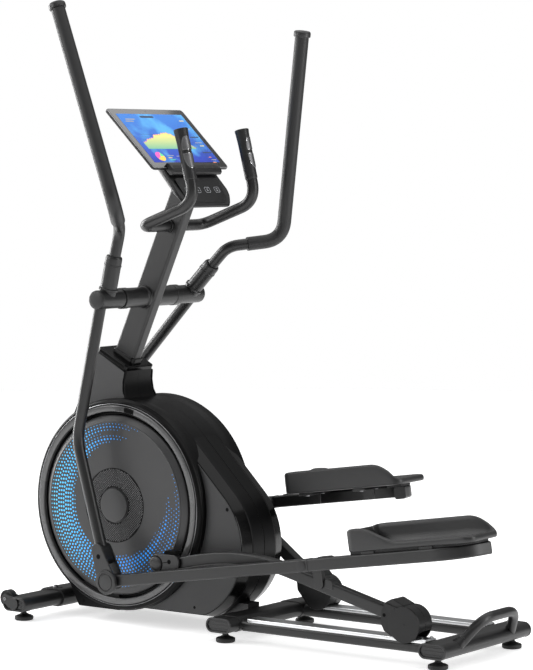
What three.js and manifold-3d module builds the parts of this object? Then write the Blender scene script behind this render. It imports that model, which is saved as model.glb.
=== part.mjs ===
// Front-drive elliptical trainer, in millimetres.
// +X points to the rear (towards the pedals), +Y to the user's right, +Z up.
// Everything is laid out from the crank axle at X = 0, Y = 0; the last lines
// move the whole machine so that its origin is the bottom centre of its box.
import * as THREE from 'three';
import { mergeVertices } from 'three/addons/utils/BufferGeometryUtils.js';
import Module from 'manifold-3d';

const wasm = await Module();
wasm.setup();

// ---------------------------------------------------------------- driving dimensions
const FIT_GAP = 0.3;                       // gap kept between touching pieces
const LEFT = -1;
const RIGHT = 1;
const SIDES = [LEFT, RIGHT];

const CRANK_Z = 320;                       // crank axle height
const CRANK_RADIUS = 230.5;                // crank axle to crank pin
const CRANK_PIN_DOWN_DEG = 36.2;           // left crank pin below the horizontal, at rest
const DISC_RADIUS = 243;
const DISC_FACE_Y = 125;
const DRUM_RADIUS = 287;
const DRUM_FACE_Y = 116;
const HULL_HALF_WIDTH = 90;
const HULL_SPINE_HALF_WIDTH = 50;
const COVER_BOTTOM_Z = 34;
const COVER_WALL = 3;

const TUBE_WIDTH = 80;                     // flat-oval stabiliser tube
const TUBE_HEIGHT = 38;
const TUBE_Z = 47;
const FRONT_X = -236;
const MIDDLE_X = 414;
const REAR_X = 1065;
const FRONT_HALF = 262;
const MIDDLE_HALF = 207;
const REAR_HALF = 202;
const FOOT_RADIUS = 25.5;

const RAIL_Y = 140;
const RAIL_WIDTH = 50;
const RAIL_TOP_Z = 61;
const STRIP_TOP_Z = 64.5;
const RAIL_BOTTOM_Z = 29;

const POST_LEAN_DEG = 24;
const POST_DEPTH = 71;
const POST_THICKNESS = 36;
const PIVOT_X = 19;                        // swing-arm pivot axis
const PIVOT_Z = 878;
const SLEEVE_RADIUS = 25.5;
const SLEEVE_INNER_Y = 124;
const SLEEVE_OUTER_Y = 221;
const SOCKET_Y = 177.5;
const ARM_Y = 206;
const ARM_TUBE_RADIUS = 15.5;

const BAR_Y = 204;                         // pedal bar centre plane
const BAR_WIDTH = 30;
const BAR_HEIGHT = 32;
const ARM_FOOT = new THREE.Vector2(56, 130);     // left arm to pedal bar pivot, at rest
const MID_PIVOT = new THREE.Vector2(690, 228);   // left pedal bar to roller bar pivot, at rest
const ROLLER_BAR_Y = 157;
const WHEEL_RADIUS = 33.2;
const WHEEL_X = 960;                       // left roller at rest
const WHEEL_Z = STRIP_TOP_Z + FIT_GAP + WHEEL_RADIUS;

// The right-hand side stands half a crank turn away from the left.
const RIGHT_ARM_DEG = 32;
const RIGHT_BAR_DEG = 0.55;
const RIGHT_WHEEL_X = 500;
const RIGHT_ROLLER_DEG = 21.03;

const PULLEY_RADIUS = 150;
const PULLEY_RIM = 148;                    // inside the belt's polygon
const PULLEY_Y = 60;
const FLYWHEEL_X = 205;
const FLYWHEEL_Z = 225;
const FLYWHEEL_RADIUS = 140;
const SMALL_PULLEY_RADIUS = 22;
const MAGNET_PIVOT = new THREE.Vector2(62, 326);

const TABLET_WIDTH = 328;
const TABLET_HEIGHT = 228;
const TABLET_THICKNESS = 9;
const TABLET_FOOT = new THREE.Vector2(171, 1228);
const TABLET_TILT_DEG = 45.9;              // back from vertical

const RAD = THREE.MathUtils.degToRad(1);

// ---------------------------------------------------------------- materials
const paint = (color, roughness, metalness) =>
  new THREE.MeshStandardMaterial({ color, roughness, metalness });
const BLACK_COAT = paint(0x2b2b2d, 0.5, 0.3);
const GREY_COAT = paint(0x4a4a4c, 0.5, 0.3);
const POST_COAT = paint(0x5a5a5c, 0.5, 0.3);
const COVER_PLASTIC = paint(0x3a3a3c, 0.45, 0.0);
const GLOSS_PLASTIC = paint(0x151516, 0.15, 0.0);
const BLACK_PLASTIC = paint(0x1e1e1f, 0.5, 0.0);
const DISC_PLASTIC = paint(0x444446, 0.4, 0.0);
const FOAM = paint(0x161617, 0.9, 0.0);
const RUBBER = paint(0x121212, 0.85, 0.0);
const ALUMINIUM = paint(0xc8c9cb, 0.3, 1.0);
const STEEL = paint(0x9a9b9d, 0.35, 1.0);
const URETHANE = paint(0x2f2f33, 0.6, 0.0);
const TABLET_SHELL = paint(0x9b9b9d, 0.35, 0.6);

const assembly = new THREE.Group();

function addMesh(name, geometry, material, parent = assembly) {
  const mesh = new THREE.Mesh(geometry, material);
  mesh.name = name;
  parent.add(mesh);
  return mesh;
}

const sideName = (side) => (side === LEFT ? 'left' : 'right');

// ---------------------------------------------------------------- solid helpers
const SLIVER = 0.08;                       // facets thinner than this are merged away
const FACET_SHARE = 0.55;                  // fewer facets on every turned piece
const MIN_FACETS = 8;

function toSolid(geometry) {
  const bare = geometry.clone();
  bare.deleteAttribute('normal');
  bare.deleteAttribute('uv');
  const merged = mergeVertices(bare, 1e-3);
  return new wasm.Manifold(new wasm.Mesh({
    numProp: 3,
    vertProperties: new Float32Array(merged.attributes.position.array),
    triVerts: new Uint32Array(merged.index.array),
  }));
}

function toGeometry(solid) {
  const mesh = solid.simplify(SLIVER).getMesh();
  const geometry = new THREE.BufferGeometry();
  geometry.setAttribute('position', new THREE.BufferAttribute(mesh.vertProperties, 3));
  geometry.setIndex(new THREE.BufferAttribute(mesh.triVerts, 1));
  return geometry;
}

const join = (...geometries) =>
  toGeometry(geometries.map(toSolid).reduce((sum, solid) => sum.add(solid)));
const cut = (geometry, ...tools) =>
  toGeometry(tools.map(toSolid).reduce((rest, tool) => rest.subtract(tool), toSolid(geometry)));
const common = (a, b) => toGeometry(toSolid(a).intersect(toSolid(b)));

// A shape drawn in X and Z, made solid between two Y values.
function slab(shape, yA, yB, curveSegments = 4) {
  const depth = Math.abs(yB - yA);
  const geometry = new THREE.ExtrudeGeometry(shape, { depth, bevelEnabled: false, curveSegments });
  return geometry.rotateX(Math.PI / 2).translate(0, Math.max(yA, yB), 0);
}

// A shape drawn in X and Y, made solid between two Z values.
function prism(shape, zA, zB, curveSegments = 6) {
  const depth = zB - zA;
  const geometry = new THREE.ExtrudeGeometry(shape, { depth, bevelEnabled: false, curveSegments });
  return geometry.translate(0, 0, zA);
}

function box(x0, x1, y0, y1, z0, z1) {
  const geometry = new THREE.BoxGeometry(x1 - x0, Math.abs(y1 - y0), z1 - z0);
  return geometry.translate((x0 + x1) / 2, (y0 + y1) / 2, (z0 + z1) / 2);
}

// A turned piece about the Y axis. The profile lists [radius, y] around a closed outline.
function turned(profile, x, z, segments = 24) {
  const points = profile.map(([radius, y]) => new THREE.Vector2(radius, y));
  const lowToHigh = THREE.ShapeUtils.isClockWise(points) ? points.reverse() : points;
  const onAxis = lowToHigh[0].x === 0 && lowToHigh.at(-1).x === 0;
  const outline = onAxis ? lowToHigh : [...lowToHigh, lowToHigh[0].clone()];
  const facets = Math.max(MIN_FACETS, Math.round(segments * FACET_SHARE));
  return new THREE.LatheGeometry(outline, facets).translate(x, 0, z);
}

const pin = (radius, yA, yB, x, z, segments = 18) =>
  turned([[0, Math.min(yA, yB)], [radius, Math.min(yA, yB)], [radius, Math.max(yA, yB)],
    [0, Math.max(yA, yB)]], x, z, segments);

const ring = (outer, inner, yA, yB, x, z, segments = 24) =>
  turned([[inner, Math.min(yA, yB)], [outer, Math.min(yA, yB)], [outer, Math.max(yA, yB)],
    [inner, Math.max(yA, yB)]], x, z, segments);

function roundedRect(width, height, radius) {
  const w = width / 2 - radius;
  const h = height / 2 - radius;
  const shape = new THREE.Shape();
  shape.absarc(w, h, radius, 0, Math.PI / 2);
  shape.absarc(-w, h, radius, Math.PI / 2, Math.PI);
  shape.absarc(-w, -h, radius, Math.PI, 1.5 * Math.PI);
  shape.absarc(w, -h, radius, 1.5 * Math.PI, 2 * Math.PI);
  return shape;
}

// The outline that a belt makes around two circles in the X-Z plane.
function beltOutline(a, radiusA, b, radiusB) {
  const gap = new THREE.Vector2().subVectors(b, a);
  const heading = gap.angle();
  const spread = Math.acos((radiusA - radiusB) / gap.length());
  const shape = new THREE.Shape();
  shape.absarc(b.x, b.y, radiusB, heading - spread, heading + spread);
  shape.absarc(a.x, a.y, radiusA, heading + spread, heading - spread + 2 * Math.PI);
  return shape;
}

// A path of straight stretches with rounded corners. Each corner is [point, radius].
function roundedPath(start, corners, end) {
  const path = new THREE.CurvePath();
  const stops = [start, ...corners.map(([point]) => point), end];
  let from = start;
  corners.forEach(([corner, radius], i) => {
    const back = new THREE.Vector3().subVectors(stops[i], corner).normalize();
    const ahead = new THREE.Vector3().subVectors(stops[i + 2], corner).normalize();
    const reach = radius / Math.tan(back.angleTo(ahead) / 2);
    const entry = corner.clone().addScaledVector(back, reach);
    const exit = corner.clone().addScaledVector(ahead, reach);
    path.add(new THREE.LineCurve3(from, entry));
    path.add(new THREE.QuadraticBezierCurve3(entry, corner, exit));
    from = exit;
  });
  path.add(new THREE.LineCurve3(from, end));
  return path;
}

// Sections of a path: the ends of each straight stretch and a few steps round each bend.
function pathStops(path, bendSteps) {
  const stops = [];
  for (const curve of path.curves) {
    const steps = curve.isLineCurve3 ? 1 : bendSteps;
    for (let i = 0; i < steps; i += 1) {
      stops.push([curve.getPoint(i / steps), curve.getTangent(i / steps)]);
    }
  }
  const last = path.curves.at(-1);
  stops.push([last.getPoint(1), last.getTangent(1)]);
  return stops;
}

// A closed skin through equal rings of points, with flat ends.
function skin(rings) {
  const count = rings[0].length;
  const position = rings.flat().flatMap((p) => [p.x, p.y, p.z]);
  const index = [];
  for (let r = 0; r + 1 < rings.length; r += 1) {
    for (let i = 0; i < count; i += 1) {
      const a = r * count + i;
      const b = r * count + ((i + 1) % count);
      index.push(a, b, b + count, a, b + count, a + count);
    }
  }
  const capOf = (loop) => {
    const origin = loop[0];
    const u = new THREE.Vector3().subVectors(loop[1], origin).normalize();
    const normal = new THREE.Vector3();
    loop.forEach((p, i) => normal.add(new THREE.Vector3().crossVectors(p, loop[(i + 1) % count])));
    normal.normalize();
    const v = new THREE.Vector3().crossVectors(normal, u);
    const flat = loop.map((p) => {
      const d = new THREE.Vector3().subVectors(p, origin);
      return new THREE.Vector2(d.dot(u), d.dot(v));
    });
    return THREE.ShapeUtils.triangulateShape(flat, []);
  };
  const last = (rings.length - 1) * count;
  for (const [a, b, c] of capOf(rings[0])) index.push(c, b, a);
  for (const [a, b, c] of capOf(rings.at(-1))) index.push(last + a, last + b, last + c);
  const geometry = new THREE.BufferGeometry();
  geometry.setAttribute('position', new THREE.Float32BufferAttribute(position, 3));
  geometry.setIndex(index);
  return geometry;
}

// A tube of any section along a path. The section's first direction stays level or upright.
function sweep(path, section, upright, bendSteps = 6) {
  const rings = pathStops(path, bendSteps).map(([point, tangent]) => {
    const across = new THREE.Vector3().crossVectors(upright, tangent).normalize();
    const up = new THREE.Vector3().crossVectors(tangent, across).normalize();
    return section.map((s) => point.clone().addScaledVector(across, s.x).addScaledVector(up, s.y));
  });
  return skin(rings);
}

// A round bar along a path. Each section is turned as little as possible from the one before.
function tube(path, radius, sides = 10, bendSteps = 4) {
  let across = new THREE.Vector3(0.31, 0.57, 0.76);
  const rings = pathStops(path, bendSteps).map(([point, tangent]) => {
    across = across.clone().addScaledVector(tangent, -across.dot(tangent)).normalize();
    const up = new THREE.Vector3().crossVectors(tangent, across);
    return Array.from({ length: sides }, (_, i) => {
      const angle = (2 * Math.PI * i) / sides;
      return point.clone().addScaledVector(across, radius * Math.cos(angle))
        .addScaledVector(up, radius * Math.sin(angle));
    });
  });
  return skin(rings);
}

const vec = (x, y, z) => new THREE.Vector3(x, y, z);
const SIDE_UP = vec(0, 1, 0);


// ---------------------------------------------------------------- stabilisers and feet
const flatOval = (grow = 0) =>
  roundedRect(TUBE_WIDTH + 2 * grow, TUBE_HEIGHT + 2 * grow, TUBE_HEIGHT / 2 + grow - 0.01);

function flatOvalTube(x, halfLength) {
  const outline = flatOval();
  outline.holes.push(flatOval(-2.5));
  return slab(outline, -halfLength, halfLength, 3).translate(x, 0, TUBE_Z);
}

const CAP_DEPTH = 30;                      // moulded end of the front stabiliser
const TRANSPORT_X = -268;
const TRANSPORT_Z = 60;
const TRANSPORT_RADIUS = 23;

addMesh('front_stabilizer', flatOvalTube(FRONT_X, FRONT_HALF - CAP_DEPTH), BLACK_COAT);
addMesh('middle_stabilizer', flatOvalTube(MIDDLE_X, MIDDLE_HALF), BLACK_COAT);
addMesh('rear_stabilizer', flatOvalTube(REAR_X, REAR_HALF), BLACK_COAT);

function frontCap(side) {
  const inner = side * (FRONT_HALF - CAP_DEPTH + FIT_GAP);
  const outer = side * (FRONT_HALF + 5);
  const body = slab(flatOval(), inner, outer, 3).translate(FRONT_X, 0, TUBE_Z);
  const ear = pin(10, inner, outer, TRANSPORT_X, TRANSPORT_Z, 14);
  const slotInner = side * (FRONT_HALF - CAP_DEPTH + 6);
  const slotOuter = side * FRONT_HALF;
  const slot = pin(TRANSPORT_RADIUS + 2, slotInner, slotOuter, TRANSPORT_X, TRANSPORT_Z, 20);
  const axle = pin(4, inner, outer, TRANSPORT_X, TRANSPORT_Z, 12);
  return join(cut(join(body, ear), slot), axle);
}

function transportWheel(side) {
  const inner = side * (FRONT_HALF - CAP_DEPTH + 7);
  const outer = side * (FRONT_HALF - 1);
  return ring(TRANSPORT_RADIUS, 4.3, inner, outer, TRANSPORT_X, TRANSPORT_Z, 20);
}

// A levelling foot: a pad with a sloped top and a threaded stem up to the tube.
function levellingFoot(x, y) {
  const profile = [[0, 0], [FOOT_RADIUS - 2, 0], [FOOT_RADIUS, 2], [FOOT_RADIUS, 11], [11, 17],
    [7, 17], [7, TUBE_Z - TUBE_HEIGHT / 2 - FIT_GAP], [0, TUBE_Z - TUBE_HEIGHT / 2 - FIT_GAP]];
  return turned(profile, 0, 0, 16).rotateX(Math.PI / 2).translate(x, y, 0);
}

const FEET = [
  ['front', FRONT_X, 225],
  ['middle', MIDDLE_X, 178],
  ['rear', REAR_X, 176],
];

for (const side of SIDES) {
  const name = sideName(side);
  addMesh(`front_end_cap_${name}`, frontCap(side), BLACK_PLASTIC);
  addMesh(`transport_wheel_${name}`, transportWheel(side), RUBBER);
  for (const [place, x, y] of FEET) {
    addMesh(`levelling_foot_${place}_${name}`, levellingFoot(x, side * y), RUBBER);
  }
}

// ---------------------------------------------------------------- rails and carry handle
const RAIL_START_X = MIDDLE_X + TUBE_WIDTH / 2 + FIT_GAP;
const RAIL_END_X = REAR_X - TUBE_WIDTH / 2 - FIT_GAP;
const STRIP_START_X = RAIL_START_X + 20;
const STRIP_END_X = RAIL_END_X - 4;

function railTube(side) {
  const height = RAIL_TOP_Z - RAIL_BOTTOM_Z;
  const section = roundedRect(RAIL_WIDTH, height, 9).getPoints(3);
  const start = vec(RAIL_START_X, side * RAIL_Y, (RAIL_TOP_Z + RAIL_BOTTOM_Z) / 2);
  const path = new THREE.CurvePath();
  path.add(new THREE.LineCurve3(start, start.clone().setX(RAIL_END_X)));
  return sweep(path, section, vec(0, 0, 1));
}

function carryHandle() {
  const foot = (side) => vec(REAR_X + 26, side * 124, TUBE_Z - 2);
  const bend = (side) => vec(REAR_X + 68, side * 75, 118);
  const path = roundedPath(foot(LEFT), [[bend(LEFT), 38], [bend(RIGHT), 38]], foot(RIGHT));
  const stabiliser = slab(flatOval(FIT_GAP), -150, 150, 3).translate(REAR_X, 0, TUBE_Z);
  return cut(tube(path, 13), stabiliser);
}

for (const side of SIDES) {
  const strip = box(STRIP_START_X, STRIP_END_X, side * RAIL_Y - RAIL_WIDTH / 2,
    side * RAIL_Y + RAIL_WIDTH / 2, RAIL_TOP_Z + FIT_GAP, STRIP_TOP_Z);
  addMesh(`rail_tube_${sideName(side)}`, railTube(side), BLACK_COAT);
  addMesh(`rail_strip_${sideName(side)}`, strip, ALUMINIUM);
}
addMesh('rear_carry_handle', carryHandle(), BLACK_COAT);

// ---------------------------------------------------------------- post, main frame, cross tube
const postPoint = (z) => vec(PIVOT_X + (z - PIVOT_Z) * Math.tan(POST_LEAN_DEG * RAD), 0, z);
const POST_BOTTOM_Z = 600;
const POST_TOP_Z = 1225;
const COLLAR_REAR = new THREE.Vector2(-13, 677);
const COLLAR_FRONT = new THREE.Vector2(-113, 729);

// A straight rounded bar along the post's axis, grown by a clearance.
function postBar(zFrom, zTo, grow) {
  const path = new THREE.CurvePath();
  path.add(new THREE.LineCurve3(postPoint(zFrom), postPoint(zTo)));
  const outline = roundedRect(POST_DEPTH + 2 * grow, POST_THICKNESS + 2 * grow, 10 + grow);
  return sweep(path, outline.getPoints(3), SIDE_UP);
}

const TABLET_DOWN = vec(Math.sin(TABLET_TILT_DEG * RAD), 0, -Math.cos(TABLET_TILT_DEG * RAD));
const TABLET_NORMAL = vec(Math.cos(TABLET_TILT_DEG * RAD), 0, Math.sin(TABLET_TILT_DEG * RAD));

// Turns a geometry drawn with X down the tablet's slope, Y across and Z along its normal.
function onTabletPlane(geometry) {
  const basis = new THREE.Matrix4().makeBasis(TABLET_DOWN, vec(0, 1, 0), TABLET_NORMAL);
  basis.setPosition(TABLET_FOOT.x, 0, TABLET_FOOT.y);
  return geometry.applyMatrix4(basis);
}

const CONSOLE_UNDERSIDE = -36.5;
const consoleSpace = () => onTabletPlane(box(-400, 400, -60, 60, CONSOLE_UNDERSIDE, 200));

function consolePost() {
  const bore = pin(27 + 2 * FIT_GAP, -40, 40, PIVOT_X, PIVOT_Z, 24);
  return cut(postBar(POST_BOTTOM_Z, POST_TOP_Z, 0), bore, consoleSpace());
}

// The fixed tube that carries both swing arms: thick through the post, turned down at its ends.
function armCrossTube() {
  const half = [[27, POST_THICKNESS / 2 + 0.5], [31, POST_THICKNESS / 2 + 0.5],
    [31, 26], [27, 32], [27, SLEEVE_INNER_Y - 1], [12, SLEEVE_INNER_Y - 1], [12, SLEEVE_OUTER_Y]];
  const far = half.map(([radius, y]) => [radius, y]);
  const near = half.map(([radius, y]) => [radius, -y]).reverse();
  return turned([[0, -SLEEVE_OUTER_Y], ...near, ...far, [0, SLEEVE_OUTER_Y]],
    PIVOT_X, PIVOT_Z, 24);
}

const BEAM_BOTTOM_Z = 40;
const BEAM_TOP_Z = 74;
const BEAM_HALF_WIDTH = 25;
const BEAM_FRONT_X = FRONT_X + TUBE_WIDTH / 2 + 1;
const BEAM_REAR_X = MIDDLE_X - TUBE_WIDTH / 2 - FIT_GAP;

// A straight square member between two points of the X-Z plane.
function member(a, b, depth, halfWidth) {
  const path = new THREE.CurvePath();
  path.add(new THREE.LineCurve3(vec(a.x, 0, a.y), vec(b.x, 0, b.y)));
  const outline = roundedRect(depth, 2 * halfWidth, 4);
  return sweep(path, outline.getPoints(2), SIDE_UP);
}

function mainFrame() {
  const crank = new THREE.Vector2(0, CRANK_Z);
  const postFoot = postPoint(POST_BOTTOM_Z - FIT_GAP);
  const saddleOutline = flatOval(5);
  saddleOutline.holes.push(flatOval(FIT_GAP));
  const saddle = cut(
    slab(saddleOutline, -110, 110, 3).translate(FRONT_X, 0, TUBE_Z),
    box(FRONT_X - 60, FRONT_X + 60, -120, 120, 0, TUBE_Z - 6),
  );
  const beam = box(BEAM_FRONT_X, BEAM_REAR_X, -BEAM_HALF_WIDTH, BEAM_HALF_WIDTH,
    BEAM_BOTTOM_Z, BEAM_TOP_Z);
  const lowerLeg = member(new THREE.Vector2(-70, 60), crank, 50, 22);
  const upperLeg = member(crank, new THREE.Vector2(postFoot.x, postFoot.z), 50, 22);
  const bearing = pin(30, -45, 45, 0, CRANK_Z, 24);
  const bore = pin(13, -60, 60, 0, CRANK_Z, 24);
  const plateOutline = beltOutline(new THREE.Vector2(FLYWHEEL_X, BEAM_TOP_Z), 34,
    new THREE.Vector2(FLYWHEEL_X, FLYWHEEL_Z), 24);
  const flywheelPlate = (y) => slab(plateOutline, y, y + Math.sign(y) * 6, 4);
  const forks = [30, -30].map((y) =>
    cut(flywheelPlate(y), pin(10.5, -60, 60, FLYWHEEL_X, FLYWHEEL_Z, 20)));
  const forkBase = box(FLYWHEEL_X - 34, FLYWHEEL_X + 34, -36, 36, 46, 66);
  const magnetLug = cut(slab(beltOutline(crank, 26, MAGNET_PIVOT, 11), -6, 6, 5),
    pin(5.4, -20, 20, MAGNET_PIVOT.x, MAGNET_PIVOT.y, 14));
  const post = postBar(POST_BOTTOM_Z - FIT_GAP, POST_BOTTOM_Z + 100, FIT_GAP);
  const welded = join(saddle, beam, lowerLeg, upperLeg, bearing, forkBase, ...forks, magnetLug);
  return cut(welded, bore, post);
}

// ---------------------------------------------------------------- crank, pulley, belt, flywheel
const CRANK_AXLE_RADIUS = 12.5;
const DISC_BACK_Y = 104;
const BOSS_FACE_Y = 131;                   // clears the roller bar, whose inner face is at 132.7

function crankPinPlace(side) {
  const turn = (side === LEFT ? -CRANK_PIN_DOWN_DEG : 180 - CRANK_PIN_DOWN_DEG) * RAD;
  return new THREE.Vector2(CRANK_RADIUS * Math.cos(turn), CRANK_Z + CRANK_RADIUS * Math.sin(turn));
}

// The dished disc with its hub cap, a hub sleeve for the axle and a boss behind the crank pin.
function crankDisc(side) {
  const profile = [[0, DISC_FACE_Y + 4], [43, DISC_FACE_Y + 4], [46, DISC_FACE_Y],
    [DISC_RADIUS - 17, DISC_FACE_Y], [DISC_RADIUS, DISC_FACE_Y - 11],
    [DISC_RADIUS, DISC_BACK_Y + 4], [60, DISC_BACK_Y], [34, DISC_BACK_Y], [34, 84],
    [CRANK_AXLE_RADIUS + 2 * FIT_GAP, 84], [CRANK_AXLE_RADIUS + 2 * FIT_GAP, 113], [0, 113]];
  const disc = turned(profile.map(([radius, y]) => [radius, side * y]), 0, CRANK_Z, 40);
  const place = crankPinPlace(side);
  const boss = pin(15, side * (DISC_BACK_Y + 8), side * BOSS_FACE_Y, place.x, place.y, 20);
  return join(disc, boss);
}

function driveBelt() {
  const crank = new THREE.Vector2(0, CRANK_Z);
  const flywheel = new THREE.Vector2(FLYWHEEL_X, FLYWHEEL_Z);
  const outline = beltOutline(crank, PULLEY_RADIUS + 4, flywheel, SMALL_PULLEY_RADIUS + 4);
  outline.holes.push(beltOutline(crank, PULLEY_RADIUS + FIT_GAP, flywheel,
    SMALL_PULLEY_RADIUS + FIT_GAP));
  return slab(outline, PULLEY_Y - 7, PULLEY_Y + 7, 12);
}

function flywheel() {
  const half = [[10 + 2 * FIT_GAP, 14], [30, 14], [36, 8], [100, 8], [108, 18], [FLYWHEEL_RADIUS, 18]];
  const mirrored = half.map(([radius, y]) => [radius, -y]).reverse();
  return turned([...half, ...mirrored], FLYWHEEL_X, FLYWHEEL_Z, 24);
}

function flywheelShaft() {
  const profile = [[0, -40], [10, -40], [10, PULLEY_Y - 12], [SMALL_PULLEY_RADIUS + 3, PULLEY_Y - 12],
    [SMALL_PULLEY_RADIUS + 3, PULLEY_Y - 9], [SMALL_PULLEY_RADIUS, PULLEY_Y - 9],
    [SMALL_PULLEY_RADIUS, PULLEY_Y + 9], [0, PULLEY_Y + 9]];
  return turned(profile, FLYWHEEL_X, FLYWHEEL_Z, 16);
}

function crankPulley() {
  const profile = [[CRANK_AXLE_RADIUS + 2 * FIT_GAP, 48], [32, 48], [32, 56], [136, 56],
    [136, PULLEY_Y - 10], [PULLEY_RIM, PULLEY_Y - 10], [PULLEY_RIM, PULLEY_Y + 10],
    [136, PULLEY_Y + 10], [136, 64], [32, 64], [32, 72], [CRANK_AXLE_RADIUS + 2 * FIT_GAP, 72]];
  return turned(profile, 0, CRANK_Z, 28);
}

// The curved brake shoe that swings over the flywheel's rim on a pin in the frame.
function magnetBracket() {
  const centre = new THREE.Vector2(FLYWHEEL_X, FLYWHEEL_Z);
  const inner = FLYWHEEL_RADIUS + 8;
  const outer = FLYWHEEL_RADIUS + 20;
  const from = 78 * RAD;
  const to = 136 * RAD;
  const band = new THREE.Shape();
  band.absarc(centre.x, centre.y, outer, from, to, false);
  band.absarc(centre.x, centre.y, inner, to, from, true);
  const root = new THREE.Vector2(centre.x + (inner + 6) * Math.cos(134 * RAD),
    centre.y + (inner + 6) * Math.sin(134 * RAD));
  const cheeks = [-11, 11].map((y) =>
    slab(beltOutline(root, 6, MAGNET_PIVOT, 10), y, y + Math.sign(y) * 5, 5));
  const pivotPin = pin(5, -16, 16, MAGNET_PIVOT.x, MAGNET_PIVOT.y, 14);
  return join(slab(band, -24, 24, 6), ...cheeks, pivotPin);
}

addMesh('main_frame', mainFrame(), BLACK_COAT);
addMesh('arm_cross_tube', armCrossTube(), BLACK_COAT);
addMesh('crank_axle', pin(CRANK_AXLE_RADIUS, -112.7, 112.7, 0, CRANK_Z), STEEL);
addMesh('crank_pulley', crankPulley(), BLACK_PLASTIC);
addMesh('drive_belt', driveBelt(), RUBBER);
addMesh('flywheel', flywheel(), STEEL);
addMesh('flywheel_shaft', flywheelShaft(), STEEL);
addMesh('magnet_bracket', magnetBracket(), STEEL);
for (const side of SIDES) addMesh(`crank_disc_${sideName(side)}`, crankDisc(side), DISC_PLASTIC);

// ---------------------------------------------------------------- drive covers
const LOBE = new THREE.Vector2(205, 225);
const LOBE_RADIUS = 205;
const HULL_RADIUS = 283;
const HULL_FRONT_DEG = 232;
const HULL_STEPS = { lobe: 9, drum: 16 };
const TOE_X = -136;

// The direction in which the straight rear slope faces. It touches the hull and the lobe.
function slopeAngle() {
  const toLobe = new THREE.Vector2(LOBE.x, LOBE.y - CRANK_Z);
  return Math.atan2(toLobe.y, toLobe.x) + Math.acos((HULL_RADIUS - LOBE_RADIUS) / toLobe.length());
}

function arcPoints(x, z, radius, start, end, steps) {
  const points = [];
  for (let i = 0; i <= steps; i += 1) {
    const angle = start + ((end - start) * i) / steps;
    points.push(new THREE.Vector2(x + radius * Math.cos(angle), z + radius * Math.sin(angle)));
  }
  return points;
}

// Points of the hull's side outline, moved inwards by an inset. Always the same number of points.
function hullOutline(inset) {
  const slope = slopeAngle();
  const rear = arcPoints(LOBE.x, LOBE.y, LOBE_RADIUS - inset, -Math.PI / 2, slope, HULL_STEPS.lobe);
  const front = arcPoints(0, CRANK_Z, HULL_RADIUS - inset, slope, HULL_FRONT_DEG * RAD,
    HULL_STEPS.drum);
  return [...rear, ...front, new THREE.Vector2(TOE_X + inset, COVER_BOTTOM_Z + inset)];
}

const loopAt = (points, y) => points.map((p) => vec(p.x, y, p.y));

// Half a hull from the middle plane out to one side, chamfered from spine to side panel.
function hullHalf(side, inset) {
  const flare = 11;
  const rings = [[0, inset], [HULL_SPINE_HALF_WIDTH, inset], [HULL_HALF_WIDTH - inset, inset + flare]];
  const loops = rings.map(([y, grow]) => loopAt(hullOutline(grow), side * y));
  return skin(side === LEFT ? loops : loops.reverse());
}

// The neck stands on the drum and carries the collar. It narrows towards the top.
function neckOutline(inset) {
  const shape = new THREE.Shape();
  const front = COLLAR_FRONT.clone().add(new THREE.Vector2(inset, -FIT_GAP));
  const rear = COLLAR_REAR.clone().add(new THREE.Vector2(-inset, -FIT_GAP));
  shape.moveTo(-186 + inset, 475);
  shape.lineTo(-20, 475);
  shape.lineTo(6 - inset, 588);
  shape.quadraticCurveTo(-32 - inset, 632, rear.x, rear.y + 20);
  shape.lineTo(front.x, front.y + 20);
  shape.lineTo(-196 + inset, 529);
  return shape;
}

function neckHalf(side, inset) {
  const top = COLLAR_FRONT.y;
  const geometry = slab(neckOutline(inset), 0, side, 6);
  const position = geometry.attributes.position;
  for (let i = 0; i < position.count; i += 1) {
    const width = 56 + (top - position.getZ(i)) * 0.11 - inset;
    position.setY(i, position.getY(i) * width);
  }
  return geometry;
}

// The foot under the front of the drum, out to just behind its face.
function toe(side, inset) {
  const shape = new THREE.Shape();
  shape.moveTo(-172 + inset, 104);
  shape.lineTo(TOE_X + inset, COVER_BOTTOM_Z);
  shape.lineTo(40, COVER_BOTTOM_Z);
  shape.lineTo(40, 104);
  return slab(shape, side * (inset > 0 ? -1 : 0), side * (TOE_FACE_Y - inset));
}

// The slope that the collar sits on, as a half-space above the neck.
function aboveCollar(drop) {
  const shape = new THREE.Shape();
  const slope = new THREE.Vector2().subVectors(COLLAR_REAR, COLLAR_FRONT).normalize();
  const lift = new THREE.Vector2(-slope.y, slope.x).multiplyScalar(-drop);
  const a = COLLAR_FRONT.clone().addScaledVector(slope, -200).add(lift);
  const b = COLLAR_REAR.clone().addScaledVector(slope, 200).add(lift);
  shape.moveTo(a.x, a.y);
  shape.lineTo(b.x, b.y);
  shape.lineTo(b.x, b.y + 400);
  shape.lineTo(a.x, a.y + 400);
  return slab(shape, -200, 200);
}

const TOE_FACE_Y = 112;
const WELL_RADIUS = 250;
const WELL_FLOOR_Y = 98;

function coverBody(side, inset) {
  const middle = side * (inset > 0 ? -1 : 0);
  const drum = pin(DRUM_RADIUS - inset, middle, side * (DRUM_FACE_Y - inset), 0, CRANK_Z, 48);
  const flatBase = box(-400, 600, -200, 200, -50, COVER_BOTTOM_Z + inset);
  return cut(join(drum, hullHalf(side, inset), neckHalf(side, inset), toe(side, inset)), flatBase);
}

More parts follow.
